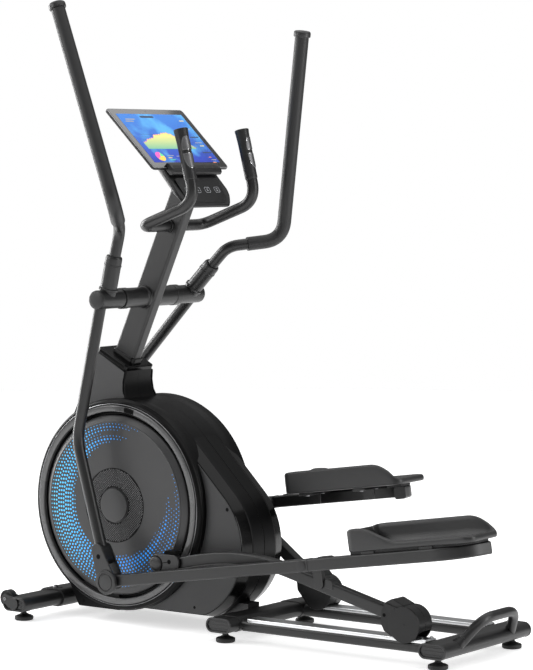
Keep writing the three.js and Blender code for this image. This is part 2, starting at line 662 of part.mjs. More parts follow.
function driveCover(side) {
  const well = pin(WELL_RADIUS, side * WELL_FLOOR_Y, side * 150, 0, CRANK_Z, 48);
  const wellInside = pin(WELL_RADIUS + COVER_WALL, side * (WELL_FLOOR_Y - COVER_WALL), side * 150,
    0, CRANK_Z, 48);
  const hubHole = pin(40, side * 60, side * 150, 0, CRANK_Z, 24);
  const hollow = cut(coverBody(side, COVER_WALL), wellInside);
  const beamHole = box(-400, 600, -BEAM_HALF_WIDTH - 1, BEAM_HALF_WIDTH + 1,
    BEAM_BOTTOM_Z - 1, BEAM_TOP_Z + 1);
  const seamGap = box(-400, 600, -FIT_GAP / 2, FIT_GAP / 2, -50, 900);
  const postHole = postBar(POST_BOTTOM_Z - 20, POST_TOP_Z, 2);
  return cut(coverBody(side, 0), well, hollow, hubHole, beamHole, seamGap, postHole,
    aboveCollar(FIT_GAP));
}

function trimRing(side) {
  const profile = [[253, DRUM_FACE_Y + FIT_GAP], [269, DRUM_FACE_Y + FIT_GAP],
    [265, DRUM_FACE_Y + 5], [256, DRUM_FACE_Y + 5]];
  return turned(profile.map(([radius, y]) => [radius, side * y]), 0, CRANK_Z, 44);
}

// The black collar that closes the neck round the post.
function neckCollar() {
  const slope = new THREE.Vector2().subVectors(COLLAR_REAR, COLLAR_FRONT);
  const length = slope.length() + 4;
  const plate = prism(roundedRect(length, 2 * 58, 12), 0, 11, 3);
  plate.rotateY(-slope.angle());
  const centre = COLLAR_FRONT.clone().add(COLLAR_REAR).multiplyScalar(0.5);
  plate.translate(centre.x, 0, centre.y);
  return cut(plate, postBar(POST_BOTTOM_Z, POST_TOP_Z, 0.6));
}

for (const side of SIDES) {
  addMesh(`drive_cover_${sideName(side)}`, driveCover(side), COVER_PLASTIC);
  addMesh(`trim_ring_${sideName(side)}`, trimRing(side), GLOSS_PLASTIC);
}
addMesh('neck_collar', neckCollar(), GLOSS_PLASTIC);

// ---------------------------------------------------------------- fixed handlebar and console
function handlebarTube(radius) {
  const top = (side) => vec(236, side * 134, 1328);
  const elbow = (side) => vec(284, side * 134, 1138);
  const turn = (side) => vec(104, side * 134, 1072);
  const path = roundedPath(top(LEFT),
    [[elbow(LEFT), 60], [turn(LEFT), 36], [turn(RIGHT), 36], [elbow(RIGHT), 60]], top(RIGHT));
  return tube(path, radius);
}

// Side profile of the console, in distance down the tablet's slope and height above its face.
function consoleHousing() {
  const profile = new THREE.Shape();
  const front = -TABLET_THICKNESS - FIT_GAP;
  profile.moveTo(-118, front);
  profile.lineTo(-118, front - 24);
  profile.lineTo(-21, front - 24);
  profile.lineTo(83, front - 27);
  profile.lineTo(106, front - 32);
  profile.lineTo(111, front - 20);
  profile.lineTo(22, front);
  const outline = new THREE.Shape();
  outline.moveTo(-120, -96);
  outline.lineTo(-10, -112);
  outline.lineTo(78, -100);
  outline.quadraticCurveTo(114, -96, 114, -62);
  outline.lineTo(114, 62);
  outline.quadraticCurveTo(114, 96, 78, 100);
  outline.lineTo(-10, 112);
  outline.lineTo(-120, 96);
  return onTabletPlane(common(slab(profile, -120, 120), prism(outline, -90, 30, 5)));
}

// The shelf that the tablet stands on, with a lip in front of the glass.
function tabletLedge() {
  const shape = new THREE.Shape();
  const back = -TABLET_THICKNESS;
  shape.moveTo(FIT_GAP, back);
  shape.lineTo(19, back);
  shape.lineTo(24, back + 5);
  shape.lineTo(21, 5);
  shape.lineTo(12, 10);
  shape.lineTo(-8, 10);
  shape.lineTo(-12, 6);
  shape.lineTo(-12, FIT_GAP);
  shape.lineTo(FIT_GAP, FIT_GAP);
  return onTabletPlane(slab(shape, -112, 112));
}

function tabletSlab() {
  const outline = roundedRect(TABLET_HEIGHT, TABLET_WIDTH, 10);
  const plate = prism(outline, -TABLET_THICKNESS, 0, 4);
  return onTabletPlane(plate.translate(-TABLET_HEIGHT / 2, 0, 0));
}

addMesh('console_post', cut(consolePost(), handlebarTube(ARM_TUBE_RADIUS + FIT_GAP)), POST_COAT);
addMesh('fixed_handlebar', handlebarTube(ARM_TUBE_RADIUS), BLACK_COAT);
addMesh('console_housing', consoleHousing(), BLACK_PLASTIC);
addMesh('tablet_ledge', tabletLedge(), GREY_COAT);
addMesh('tablet', tabletSlab(), TABLET_SHELL);

// ---------------------------------------------------------------- placing the moving sides
// Left-hand pieces are drawn where they rest. The right-hand ones are their mirror image,
// turned to where they stand half a crank turn later.
const PIVOT = new THREE.Vector2(PIVOT_X, PIVOT_Z);
const SOCKET_LEAN_DEG = 13.2;
const BAR_PITCH_DEG = Math.atan2(MID_PIVOT.y - ARM_FOOT.y, MID_PIVOT.x - ARM_FOOT.x) / RAD;

function turnAbout(geometry, centre, degrees) {
  return geometry.translate(-centre.x, 0, -centre.y).rotateY(degrees * RAD)
    .translate(centre.x, 0, centre.y);
}

function turnedPoint(point, centre, degrees) {
  const spot = vec(point.x - centre.x, 0, point.y - centre.y)
    .applyAxisAngle(vec(0, 1, 0), degrees * RAD);
  return new THREE.Vector2(spot.x + centre.x, spot.z + centre.y);
}

const onArm = (geometry, side) =>
  (side === LEFT ? geometry : turnAbout(geometry, PIVOT, RIGHT_ARM_DEG));

// Bar pieces are drawn with X along the bar from its front pivot and Z at right angles to it.
function onBar(geometry, side) {
  const right = side === RIGHT;
  const foot = right ? turnedPoint(ARM_FOOT, PIVOT, RIGHT_ARM_DEG) : ARM_FOOT;
  const pitch = BAR_PITCH_DEG - (right ? RIGHT_BAR_DEG : 0);
  return geometry.rotateY(-pitch * RAD).translate(foot.x, 0, foot.y);
}

const onRoller = (geometry, side) => {
  if (side === LEFT) return geometry;
  const wheel = new THREE.Vector2(WHEEL_X, WHEEL_Z);
  return turnAbout(geometry, wheel, RIGHT_ROLLER_DEG).translate(RIGHT_WHEEL_X - WHEEL_X, 0, 0);
};

// ---------------------------------------------------------------- swing arms
const socketPoint = (rearward, along, y) => {
  const lean = SOCKET_LEAN_DEG * RAD;
  return vec(PIVOT_X + rearward * Math.cos(lean) + along * Math.sin(lean), y,
    PIVOT_Z - rearward * Math.sin(lean) + along * Math.cos(lean));
};
const SOCKET_TOP = 119;
const SOCKET_DEPTH = 60;
const ARM_TUBE_END = new THREE.Vector2(16, 235);
const PLATE_INNER_Y = 184.5;
const PLATE_OUTER_Y = 223;

function straight(a, b, radius, sides = 14) {
  const path = new THREE.CurvePath();
  path.add(new THREE.LineCurve3(a, b));
  return tube(path, radius, sides);
}

function swingArm(side) {
  const at = (x, y, z) => vec(x, side * y, z);
  const sleeve = pin(SLEEVE_RADIUS, side * SLEEVE_INNER_Y, side * SLEEVE_OUTER_Y,
    PIVOT_X, PIVOT_Z, 28);
  const bore = pin(12.5, side * 100, side * 240, PIVOT_X, PIVOT_Z, 24);
  const socket = straight(socketPoint(0, 0, side * SOCKET_Y),
    socketPoint(0, SOCKET_TOP, side * SOCKET_Y), 22.5, 16);
  const socketBore = straight(socketPoint(0, SOCKET_TOP - SOCKET_DEPTH, side * SOCKET_Y),
    socketPoint(0, SOCKET_TOP + 10, side * SOCKET_Y), 17.2, 14);
  const path = roundedPath(at(18, ARM_Y - 6, 868), [[at(-61, ARM_Y, 501), 150]],
    at(ARM_TUBE_END.x, ARM_Y, ARM_TUBE_END.y));
  const lower = tube(path, ARM_TUBE_RADIUS);
  const blockEnd = new THREE.Vector2(34, 187);
  const block = slab(beltOutline(ARM_TUBE_END, 17, blockEnd, 15),
    side * PLATE_INNER_Y, side * PLATE_OUTER_Y, 3);
  const plate = (yA, yB) => slab(beltOutline(ARM_TUBE_END, 17, ARM_FOOT, 25), side * yA, side * yB, 4);
  const pivotPin = pin(8, side * PLATE_INNER_Y, side * PLATE_OUTER_Y, ARM_FOOT.x, ARM_FOOT.y, 16);
  const arm = join(sleeve, socket, lower, block, plate(PLATE_INNER_Y, PLATE_INNER_Y + 4),
    plate(PLATE_OUTER_Y - 3, PLATE_OUTER_Y), pivotPin);
  return onArm(cut(arm, bore, socketBore), side);
}

function bracketCover(side) {
  const inner = side * (PLATE_OUTER_Y + FIT_GAP);
  const teardrop = slab(beltOutline(ARM_TUBE_END, 17, ARM_FOOT, 31), inner, side * 229, 5);
  const cap = turned([[0, PLATE_OUTER_Y + 1], [33, PLATE_OUTER_Y + 1], [33, 230], [30, 233],
    [24, 233], [22, 231], [0, 231]].map(([radius, y]) => [radius, side * y]),
    ARM_FOOT.x, ARM_FOOT.y, 30);
  return onArm(join(teardrop, cap), side);
}

const GRIP_RADIUS = 19;
const GRIP_BORE = 16.7;
const GRIP_START = 0.35;                   // how far along the handle's outward leg the foam begins
const HANDLE_ELBOW = [2, 192, 176];
const HANDLE_BEND = [60, 276, 294];
const HANDLE_TOP = [-276, 739, 259];

function handlePath(side, fromGrip) {
  const at = ([rearward, along, y]) => socketPoint(rearward, along, side * y);
  const elbow = at(HANDLE_ELBOW);
  const bend = at(HANDLE_BEND);
  const top = at(HANDLE_TOP);
  const gripStart = elbow.clone().lerp(bend, GRIP_START);
  if (fromGrip) return roundedPath(gripStart, [[bend, 62]], top);
  return roundedPath(at([0, SOCKET_TOP - SOCKET_DEPTH + FIT_GAP, SOCKET_Y]),
    [[elbow, 55], [bend, 62]], top);
}

const armHandle = (side) => onArm(tube(handlePath(side, false), ARM_TUBE_RADIUS), side);

function foamGrip(side) {
  const path = handlePath(side, true);
  const top = path.getPoint(1);
  const heading = path.curves.at(-1).getTangent(1);
  const end = top.clone().addScaledVector(heading, 4);
  const capFoot = top.clone().addScaledVector(heading, -14);
  const cap = straight(capFoot, end, 23, 14);
  const foam = join(tube(path, GRIP_RADIUS), cap);
  const overTop = top.clone().addScaledVector(heading, FIT_GAP);
  const before = path.curves[0].getTangent(0);
  const foot = path.getPoint(0);
  const bore = tube(path, GRIP_BORE);
  const boreTop = straight(capFoot, overTop, GRIP_BORE, 10);
  const boreFoot = straight(foot.clone().addScaledVector(before, -4),
    foot.clone().addScaledVector(before, 4), GRIP_BORE, 10);
  return onArm(cut(foam, bore, boreTop, boreFoot), side);
}

// ---------------------------------------------------------------- pedal bars and pedals
const BAR_LENGTH_TO_BEND = 1098;
const BAR_END = 1122;
const MID_AT = Math.hypot(MID_PIVOT.x - ARM_FOOT.x, MID_PIVOT.y - ARM_FOOT.y);
const PEDAL_START = 756;
const PEDAL_LENGTH = 390;
const PEDAL_BASE = 22.7;
const PEDAL_INNER_Y = 75;
const PEDAL_OUTER_Y = 215;
const PEDAL_WALL = 4;
const PEDAL_WALL_HEIGHT = 59;

function pedalBar(side) {
  const at = (along, y) => vec(along, side * y, 0);
  const path = roundedPath(at(0, BAR_Y), [[at(BAR_LENGTH_TO_BEND, BAR_Y), 90]], at(BAR_END, 112));
  const section = roundedRect(BAR_HEIGHT, BAR_WIDTH, 4).getPoints(1);
  const bar = sweep(path, section, SIDE_UP, 5);
  const eye = pin(16, side * (BAR_Y - 15), side * (BAR_Y + 15), 0, 0, 24);
  const eyeBore = pin(9, side * 150, side * 250, 0, 0, 16);
  const boss = pin(14, side * 178.2, side * (BAR_Y - 10), MID_AT, 0, 20);
  const rests = [836, 1010].map((along) =>
    box(along - 20, along + 20, side * 86, side * 212, BAR_HEIGHT / 2 - 1, PEDAL_BASE - FIT_GAP));
  return onBar(cut(join(bar, eye, boss, ...rests), eyeBore), side);
}

function pedal(side) {
  const middle = (PEDAL_INNER_Y + PEDAL_OUTER_Y) / 2;
  const width = PEDAL_OUTER_Y - PEDAL_INNER_Y;
  const plan = (inset) =>
    roundedRect(PEDAL_LENGTH - 2 * inset, width - 2 * inset, 24 - inset);
  const place = (geometry) =>
    geometry.translate(PEDAL_START + PEDAL_LENGTH / 2, side * middle, PEDAL_BASE);
  const block = prism(plan(0), 0, PEDAL_WALL_HEIGHT, 3);
  const pan = prism(plan(PEDAL_WALL), 12, PEDAL_WALL_HEIGHT + 5, 3);
  const skyline = (points, yA, yB) => {
    const shape = new THREE.Shape();
    shape.moveTo(-PEDAL_LENGTH, -5);
    shape.lineTo(PEDAL_LENGTH, -5);
    points.forEach(([along, height]) => shape.lineTo(along - PEDAL_LENGTH / 2, height));
    shape.lineTo(-PEDAL_LENGTH, PEDAL_WALL_HEIGHT);
    return slab(shape, yA, yB);
  };
  const inboard = skyline([[500, 4], [390, 4], [384, 16], [300, 52], [280, 58]], -side * 200, 0);
  const outboard = skyline([[500, 4], [390, 4], [384, 16], [110, 16], [70, 26], [26, 56]],
    0, side * 200);
  return onBar(place(common(cut(block, pan), join(inboard, outboard))), side);
}

// ---------------------------------------------------------------- roller bars, wheels and covers
const PIN_EYE = new THREE.Vector2(186, 184);
const ROLLER_BAR_REAR_Y = 141;
const WHEEL_CENTRE = new THREE.Vector2(WHEEL_X, WHEEL_Z);

function rollerBarSweep(side, grow, end) {
  const at = (x, y, z) => vec(x, side * y, z);
  const path = roundedPath(at(197, ROLLER_BAR_Y, 177.1), [[at(458.6, ROLLER_BAR_Y - 5, 234.4), 620]],
    at(end, ROLLER_BAR_REAR_Y, 167 - 0.26 * (end - 718)));
  const section = roundedRect(32 + 2 * grow, 30 + 2 * grow, 4).getPoints(1);
  return sweep(path, section, SIDE_UP, 6);
}

function rollerBar(side) {
  const bar = rollerBarSweep(side, 0, 918);
  const eye = pin(22, side * (BOSS_FACE_Y + 1), side * 174, PIN_EYE.x, PIN_EYE.y, 24);
  const lug = slab(beltOutline(new THREE.Vector2(692, 176), 24, MID_PIVOT, 16),
    side * 146, side * 168, 3);
  const boss = pin(14, side * 160, side * 177.6, MID_PIVOT.x, MID_PIVOT.y, 20);
  const yoke = new THREE.Vector2(902, 119);
  const crossPiece = pin(13, side * 118, side * 162, yoke.x, yoke.y, 18);
  const cheek = (yA) => slab(beltOutline(yoke, 13, WHEEL_CENTRE, 12), side * yA, side * (yA + 4), 3);
  const axleHole = pin(7, side * 100, side * 180, WHEEL_X, WHEEL_Z, 18);
  const welded = join(bar, eye, lug, boss, crossPiece, cheek(118), cheek(158));
  return onRoller(cut(welded, axleHole), side);
}

const rollerAxle = (side) =>
  onRoller(pin(6, side * 114, side * 166, WHEEL_X, WHEEL_Z, 18), side);

function bearingCover(side) {
  const rear = new THREE.Vector2(256, 195);
  const body = slab(beltOutline(PIN_EYE, 24, rear, 20), side * 174.3, side * 181, 5);
  const dome = turned([[0, 178], [20, 178], [20, 182], [14, 186], [0, 186]]
    .map(([radius, y]) => [radius, side * y]), PIN_EYE.x, PIN_EYE.y, 24);
  return onRoller(join(body, dome), side);
}

function rollerCover(side) {
  const outer = 46;
  const inner = 42;
  const drum = pin(outer, side * 109, side * 171, WHEEL_X, WHEEL_Z, 24);
  const cavity = pin(inner, side * 113, side * 167, WHEEL_X, WHEEL_Z, 24);
  const nose = slab(beltOutline(WHEEL_CENTRE, 40, new THREE.Vector2(902, 120), 30),
    side * 109, side * 171, 3);
  const noseCavity = slab(beltOutline(WHEEL_CENTRE, 36, new THREE.Vector2(902, 120), 26),
    side * 113, side * 167, 3);
  const below = box(WHEEL_X - 80, WHEEL_X + 80, side * 113, side * 167, 0, WHEEL_Z + 4);
  return onRoller(cut(join(drum, nose), cavity, noseCavity, below,
    rollerBarSweep(side, 1, 930)), side);
}

const rollerWheel = (side) => onRoller(
  ring(WHEEL_RADIUS, 7, side * 125, side * 155, WHEEL_X, WHEEL_Z, 28), side);

for (const side of SIDES) {
  const name = sideName(side);
  addMesh(`swing_arm_${name}`, swingArm(side), BLACK_COAT);
  addMesh(`arm_handle_${name}`, armHandle(side), BLACK_COAT);
  addMesh(`foam_grip_${name}`, foamGrip(side), FOAM);
  addMesh(`arm_bracket_cover_${name}`, bracketCover(side), BLACK_PLASTIC);
  addMesh(`pedal_bar_${name}`, pedalBar(side), BLACK_COAT);
  addMesh(`pedal_${name}`, pedal(side), BLACK_PLASTIC);
  addMesh(`roller_bar_${name}`, rollerBar(side), BLACK_COAT);
  addMesh(`crank_bearing_cover_${name}`, bearingCover(side), BLACK_PLASTIC);
  addMesh(`roller_cover_${name}`, rollerCover(side), BLACK_PLASTIC);
  addMesh(`roller_axle_${name}`, rollerAxle(side), STEEL);
  addMesh(`roller_wheel_${name}`, rollerWheel(side), URETHANE);
}

// ---------------------------------------------------------------- origin
assembly.updateMatrixWorld(true);
const extent = new THREE.Box3().setFromObject(assembly);
const middle = extent.getCenter(new THREE.Vector3());
assembly.children.forEach((mesh) => mesh.geometry.translate(-middle.x, -middle.y, -extent.min.z));

export default assembly;
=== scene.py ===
"""The looks of a front-drive elliptical trainer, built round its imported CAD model.

Shapes are drawn in millimetres from the crank axle's foot on the floor: X to the
rear, Y outwards from the middle plane, Z up. Every piece is drawn once for one
side, and a matrix puts it on the left or the right in the row frame, in metres.
"""
import math

import bmesh
import bpy
from mathutils import Matrix, Vector


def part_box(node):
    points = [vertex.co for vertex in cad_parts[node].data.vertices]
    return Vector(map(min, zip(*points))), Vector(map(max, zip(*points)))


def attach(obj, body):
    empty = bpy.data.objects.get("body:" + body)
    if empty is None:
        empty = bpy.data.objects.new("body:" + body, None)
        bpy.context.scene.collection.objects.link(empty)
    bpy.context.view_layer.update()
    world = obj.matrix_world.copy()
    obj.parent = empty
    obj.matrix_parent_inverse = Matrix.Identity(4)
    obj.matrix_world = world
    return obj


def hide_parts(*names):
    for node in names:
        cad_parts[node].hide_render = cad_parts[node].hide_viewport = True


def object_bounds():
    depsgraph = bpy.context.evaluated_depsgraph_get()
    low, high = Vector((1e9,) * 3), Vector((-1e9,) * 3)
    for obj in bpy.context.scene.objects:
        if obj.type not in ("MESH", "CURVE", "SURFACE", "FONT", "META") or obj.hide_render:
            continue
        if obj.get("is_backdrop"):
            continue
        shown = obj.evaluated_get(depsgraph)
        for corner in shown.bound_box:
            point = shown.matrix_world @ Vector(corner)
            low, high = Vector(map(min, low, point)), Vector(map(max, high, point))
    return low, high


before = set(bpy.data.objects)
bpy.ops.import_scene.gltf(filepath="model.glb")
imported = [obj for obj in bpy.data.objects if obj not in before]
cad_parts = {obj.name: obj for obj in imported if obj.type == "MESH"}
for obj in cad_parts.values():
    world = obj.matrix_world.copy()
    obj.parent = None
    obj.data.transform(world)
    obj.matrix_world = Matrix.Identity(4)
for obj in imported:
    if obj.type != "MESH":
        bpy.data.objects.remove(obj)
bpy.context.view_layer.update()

# ------------------------------------------------------------------ sizes, in millimetres
CRANK_Z = 320
PIVOT = (19, 878)                # swing-arm pivot, X and Z
ARM_FOOT = (56, 130)             # left arm to pedal bar
MID_PIVOT = (690, 228)           # left pedal bar to roller bar
PIN_EYE = (186, 184)             # left crank pin
WHEEL = (960, 98)                # left roller
RIGHT_WHEEL_X = 500
RIGHT_ARM_DEG = 32
RIGHT_BAR_DEG = 0.55
RIGHT_ROLLER_DEG = 21.03
SOCKET_LEAN_DEG = 13.2
POST_LEAN_DEG = 24
TABLET_FOOT = (171, 1228)
TABLET_TILT_DEG = 45.9
TUBE_R = 15.5                    # handles, swing arms and fixed handlebar
SIDES = ("left", "right")

# ------------------------------------------------------------------ where pieces go
axle_low, axle_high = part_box("crank_axle")
axle_middle = (axle_low + axle_high) / 2
ORIGIN = Vector((axle_middle.x, axle_middle.y, axle_middle.z - CRANK_Z / 1000))
TO_ROW = Matrix.Translation(ORIGIN) @ Matrix.Scale(0.001, 4)
MIRROR = Matrix.Diagonal((1, -1, 1, 1))
AS_DRAWN = Matrix.Identity(4)


def turn_y(degrees):
    return Matrix.Rotation(math.radians(degrees), 4, "Y")


def turn_about(x, z, degrees):
    return Matrix.Translation((x, 0, z)) @ turn_y(degrees) @ Matrix.Translation((-x, 0, -z))


ARM_RIGHT = turn_about(*PIVOT, RIGHT_ARM_DEG)
BAR_PITCH = math.degrees(math.atan2(MID_PIVOT[1] - ARM_FOOT[1], MID_PIVOT[0] - ARM_FOOT[0]))
FOOT_LEFT = Vector((ARM_FOOT[0], 0, ARM_FOOT[1]))
PLACES = {
    "fixed": (MIRROR, AS_DRAWN),
    "arm": (MIRROR, ARM_RIGHT),
    "bar": (
        Matrix.Translation(FOOT_LEFT) @ turn_y(-BAR_PITCH) @ MIRROR,
        Matrix.Translation(ARM_RIGHT @ FOOT_LEFT) @ turn_y(RIGHT_BAR_DEG - BAR_PITCH),
    ),
    "roller": (
        MIRROR,
        Matrix.Translation((RIGHT_WHEEL_X - WHEEL[0], 0, 0))
        @ turn_about(*WHEEL, RIGHT_ROLLER_DEG),
    ),
}


BODY_OF = {"fixed": "frame", "arm": "arm_{}", "bar": "pedal_bar_{}", "roller": "roller_bar_{}"}


def at(spot, y=0):
    """A point from its X and Z and its distance from the middle plane."""
    return Vector((spot[0], y, spot[1]))


# ------------------------------------------------------------------ outlines and paths
def circle(radius, sides=24):
    steps = [2 * math.pi * i / sides for i in range(sides)]
    return [(radius * math.cos(a), radius * math.sin(a)) for a in steps]


def arc(centre, radius, start, end, steps):
    """Points on an arc, angles in degrees, both ends included."""
    angles = [math.radians(start + (end - start) * i / steps) for i in range(steps + 1)]
    return [(centre[0] + radius * math.cos(a), centre[1] + radius * math.sin(a)) for a in angles]


def rounded(corners, steps=6):
    """A closed outline from (x, z, radius) corners, with its corners rounded."""
    outline = []
    count = len(corners)
    for i, (x, z, radius) in enumerate(corners):
        corner = Vector((x, z))
        back = Vector(corners[i - 1][:2]) - corner
        ahead = Vector(corners[(i + 1) % count][:2]) - corner
        if radius <= 0:
            outline.append((x, z))
            continue
        reach = radius / math.tan(back.angle(ahead) / 2)
        reach = min(reach, 0.49 * back.length, 0.49 * ahead.length)
        start = corner + back.normalized() * reach
        end = corner + ahead.normalized() * reach
        for k in range(steps + 1):
            t = k / steps
            point = start.lerp(corner, t).lerp(corner.lerp(end, t), t)
            outline.append((point.x, point.y))
    return outline


def rectangle(width, height, radius, steps=5):
    w, h = width / 2, height / 2
    outline = []
    for cx, cz, start in ((w, h, 0), (-w, h, 90), (-w, -h, 180), (w, -h, 270)):
        middle = (cx - math.copysign(radius, cx), cz - math.copysign(radius, cz))
        outline += arc(middle, radius, start, start + 90, steps)
    return outline


def shifted(outline, x, z):
    return [(px + x, pz + z) for px, pz in outline]


ARC_STEPS = 14                   # on each end of a stadium


def stadium(a, radius_a, b, radius_b):
    """The outline round two circles, as a belt makes it."""
    gap = Vector(b) - Vector(a)
    heading = math.degrees(math.atan2(gap.y, gap.x))
    spread = math.degrees(math.acos((radius_a - radius_b) / gap.length))
    far = arc(b, radius_b, heading - spread, heading + spread, ARC_STEPS)
    near = arc(a, radius_a, heading + spread, heading - spread + 360, ARC_STEPS)
    return far + near


def bend(start, corners, end, steps=12):
    """A path of straight stretches with rounded corners. Each corner is (point, radius)."""
    stops = [Vector(start)] + [Vector(c) for c, _ in corners] + [Vector(end)]
    path = [stops[0]]
    for i, (_, radius) in enumerate(corners):
        corner = stops[i + 1]
        back = (stops[i] - corner).normalized()
        ahead = (stops[i + 2] - corner).normalized()
        reach = radius / math.tan(back.angle(ahead) / 2)
        entry, leave = corner + back * reach, corner + ahead * reach
        for k in range(steps + 1):
            t = k / steps
            path.append(entry.lerp(corner, t).lerp(corner.lerp(leave, t), t))
    path.append(stops[-1])
    return path


def resampled(path, step):
    """The same path with points about every step millimetres."""
    points = [path[0]]
    for a, b in zip(path, path[1:]):
        count = max(1, round((b - a).length / step))
        points += [a.lerp(b, k / count) for k in range(1, count + 1)]
    return points


def lengths_along(path):
    total, along = 0, [0]
    for a, b in zip(path, path[1:]):
        total += (b - a).length
        along.append(total)
    return along


def smooth_step(low, high, value):
    t = min(1, max(0, (value - low) / (high - low)))
    return t * t * (3 - 2 * t)


def interpolated(table, value):
    """The value of a table of (position, height) pairs, joined by straight lines."""
    if value <= table[0][0]:
        return table[0][1]
    for (x0, y0), (x1, y1) in zip(table, table[1:]):
        if value <= x1:
            return y0 + (y1 - y0) * (value - x0) / (x1 - x0)
    return table[-1][1]


# ------------------------------------------------------------------ solids: (points, faces)
def skin(rings, capped=True):
    count = len(rings[0])
    points = [Vector(p) for ring in rings for p in ring]
    faces = []
    for r in range(len(rings) - 1):
        for i in range(count):
            a = r * count + i
            b = r * count + (i + 1) % count
            faces.append((a, b, b + count, a + count))
    if capped:
        last = (len(rings) - 1) * count
        faces.append(tuple(range(count)))
        faces.append(tuple(range(last, last + count)))
    return points, faces


def turned(profile, origin, axis=(0, 1, 0), sides=64, hexagon=()):
    """A turned solid. The profile lists (radius, distance along the axis); the
    profile places listed in hexagon are six-sided instead of round."""
    along = Vector(axis).normalized()
    across = along.orthogonal().normalized()
    lift = along.cross(across)
    rings = []
    for place, (radius, distance) in enumerate(profile):
        centre = Vector(origin) + along * distance
        ring = []
        for i in range(sides):
            angle = 2 * math.pi * i / sides
            reach = radius
            if place in hexagon:
                reach /= math.cos((angle % (math.pi / 3)) - math.pi / 6)
            ring.append(centre + reach * (math.cos(angle) * across + math.sin(angle) * lift))
        rings.append(ring)
    return skin(rings, capped=False)


def disc_between(radius, a, b, sides=48):
    a, b = Vector(a), Vector(b)
    length = (b - a).length
    return turned([(0, 0), (radius, 0), (radius, length), (0, length)], a, b - a, sides)


def hoop(outer, inner, y0, y1, x, z, sides=64):
    profile = [(inner, y0), (outer, y0), (outer, y1), (inner, y1), (inner, y0)]
    return turned(profile, (x, 0, z), sides=sides)


def slab(outline, y0, y1):
    """An outline in X and Z, made solid between two Y values."""
    return skin([[(x, y, z) for x, z in outline] for y in (y0, y1)])


def plate(outline, z0, z1):
    """An outline in X and Y, made solid between two Z values."""
    return skin([[(x, y, z) for x, y in outline] for z in (z0, z1)])


def sweep(path, section, upright=None):
    """A section along a path. The section is a list of (across, lift) points, or a
    function of the share of the length. Without upright it turns as little as it can."""
    along = lengths_along(path)
    across = Vector((0.31, 0.57, 0.76))
    rings = []
    for i, point in enumerate(path):
        ahead = path[min(i + 1, len(path) - 1)] - path[max(i - 1, 0)]
        tangent = ahead.normalized()
        if upright is None:
            across = (across - tangent * across.dot(tangent)).normalized()
        else:
            across = Vector(upright).cross(tangent).normalized()
        lift = tangent.cross(across)
        shape = section(along[i] / along[-1]) if callable(section) else section
        rings.append([point + a * across + b * lift for a, b in shape])
    return skin(rings)


def tube(path, radius, sides=28, step=8):
    """A round tube along a path, its rings evenly spaced so that it shades evenly."""
    return sweep(resampled(path, step), circle(radius, sides))


class Part:
    """Solids gathered into one mesh. Each can have its edges rounded on the way in."""

    def __init__(self):
        self.mesh = bmesh.new()

    def add(self, solid, paint=0, rounding=0.0, steps=2, crease=32):
        points, faces = solid
        piece = bmesh.new()
        corners = [piece.verts.new(p) for p in points]
        for face in faces:
            piece.faces.new([corners[i] for i in face])
        bmesh.ops.remove_doubles(piece, verts=piece.verts, dist=2e-3)
        bmesh.ops.recalc_face_normals(piece, faces=piece.faces)
        if rounding:
            sharp = [
                edge for edge in piece.edges
                if edge.is_manifold and edge.calc_face_angle(0) > math.radians(crease)
            ]
            bmesh.ops.bevel(
                piece, geom=sharp, offset=rounding, offset_type="OFFSET", segments=steps,
                profile=0.5, affect="EDGES", clamp_overlap=True,
            )
        for face in piece.faces:
            face.material_index = paint
            face.smooth = True
        holder = bpy.data.meshes.new("holder")
        piece.to_mesh(holder)
        piece.free()
        self.mesh.from_mesh(holder)
        bpy.data.meshes.remove(holder)
        return self


def show(name, part, place, materials, body="frame", nodes=()):
    """Makes a piece of a part, puts it in the row frame and lets it ride on a CAD body.
    The nodes are the CAD nodes that it takes the place of."""
    matrix = TO_ROW @ place
    part.mesh.transform(matrix)
    if matrix.determinant() < 0:
        bmesh.ops.reverse_faces(part.mesh, faces=part.mesh.faces)
    mesh = bpy.data.meshes.new(name)
    part.mesh.to_mesh(mesh)
    part.mesh.free()
    for material in materials:
        mesh.materials.append(material)
    mesh.set_sharp_from_angle(angle=math.radians(38))
    piece = bpy.data.objects.new(name, mesh)
    bpy.context.scene.collection.objects.link(piece)
    normals = piece.modifiers.new("Even normals", "WEIGHTED_NORMAL")
    normals.keep_sharp = True
    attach(piece, body)
    if nodes:
        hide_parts(*nodes)


def show_on(side, name, part, kind, materials, body=None, extra=False):
    """Shows one side's piece, which takes the place of the CAD node of its own name unless
    it is extra. It rides on the body that its kind of place belongs to, or on a named one."""
    node = f"{name}_{side}"
    body = (body or BODY_OF[kind]).format(side)
    nodes = () if extra else (node,)
    show(node, part, PLACES[kind][SIDES.index(side)], materials, body, nodes)


def show_whole(name, part, materials, place=AS_DRAWN, extra=False):
    """Shows a piece of the frame that isn't one side's."""
    show(name, part, place, materials, nodes=() if extra else (name,))


# ------------------------------------------------------------------ materials
def set_values(node, **values):
    """Sets sockets by name, with underscores for the spaces in a name."""
    for socket, value in values.items():
        node.inputs[socket.replace("_", " ")].default_value = value
    return node


def add_node(tree, kind, source=None, socket=0, **values):
    node = set_values(tree.nodes.new("ShaderNode" + kind), **values)
    if source:
        tree.links.new(source, node.inputs[socket])
    return node


def add_ramp(tree, source, low_color, high_color, low=0.0, high=1.0):
    ramp = add_node(tree, "ValToRGB", source, "Fac")
    for element, position, color in zip(ramp.color_ramp.elements, (low, high),
                                        (low_color, high_color)):
        element.position = position
        element.color = [*color, 1]
    return ramp.outputs["Color"]


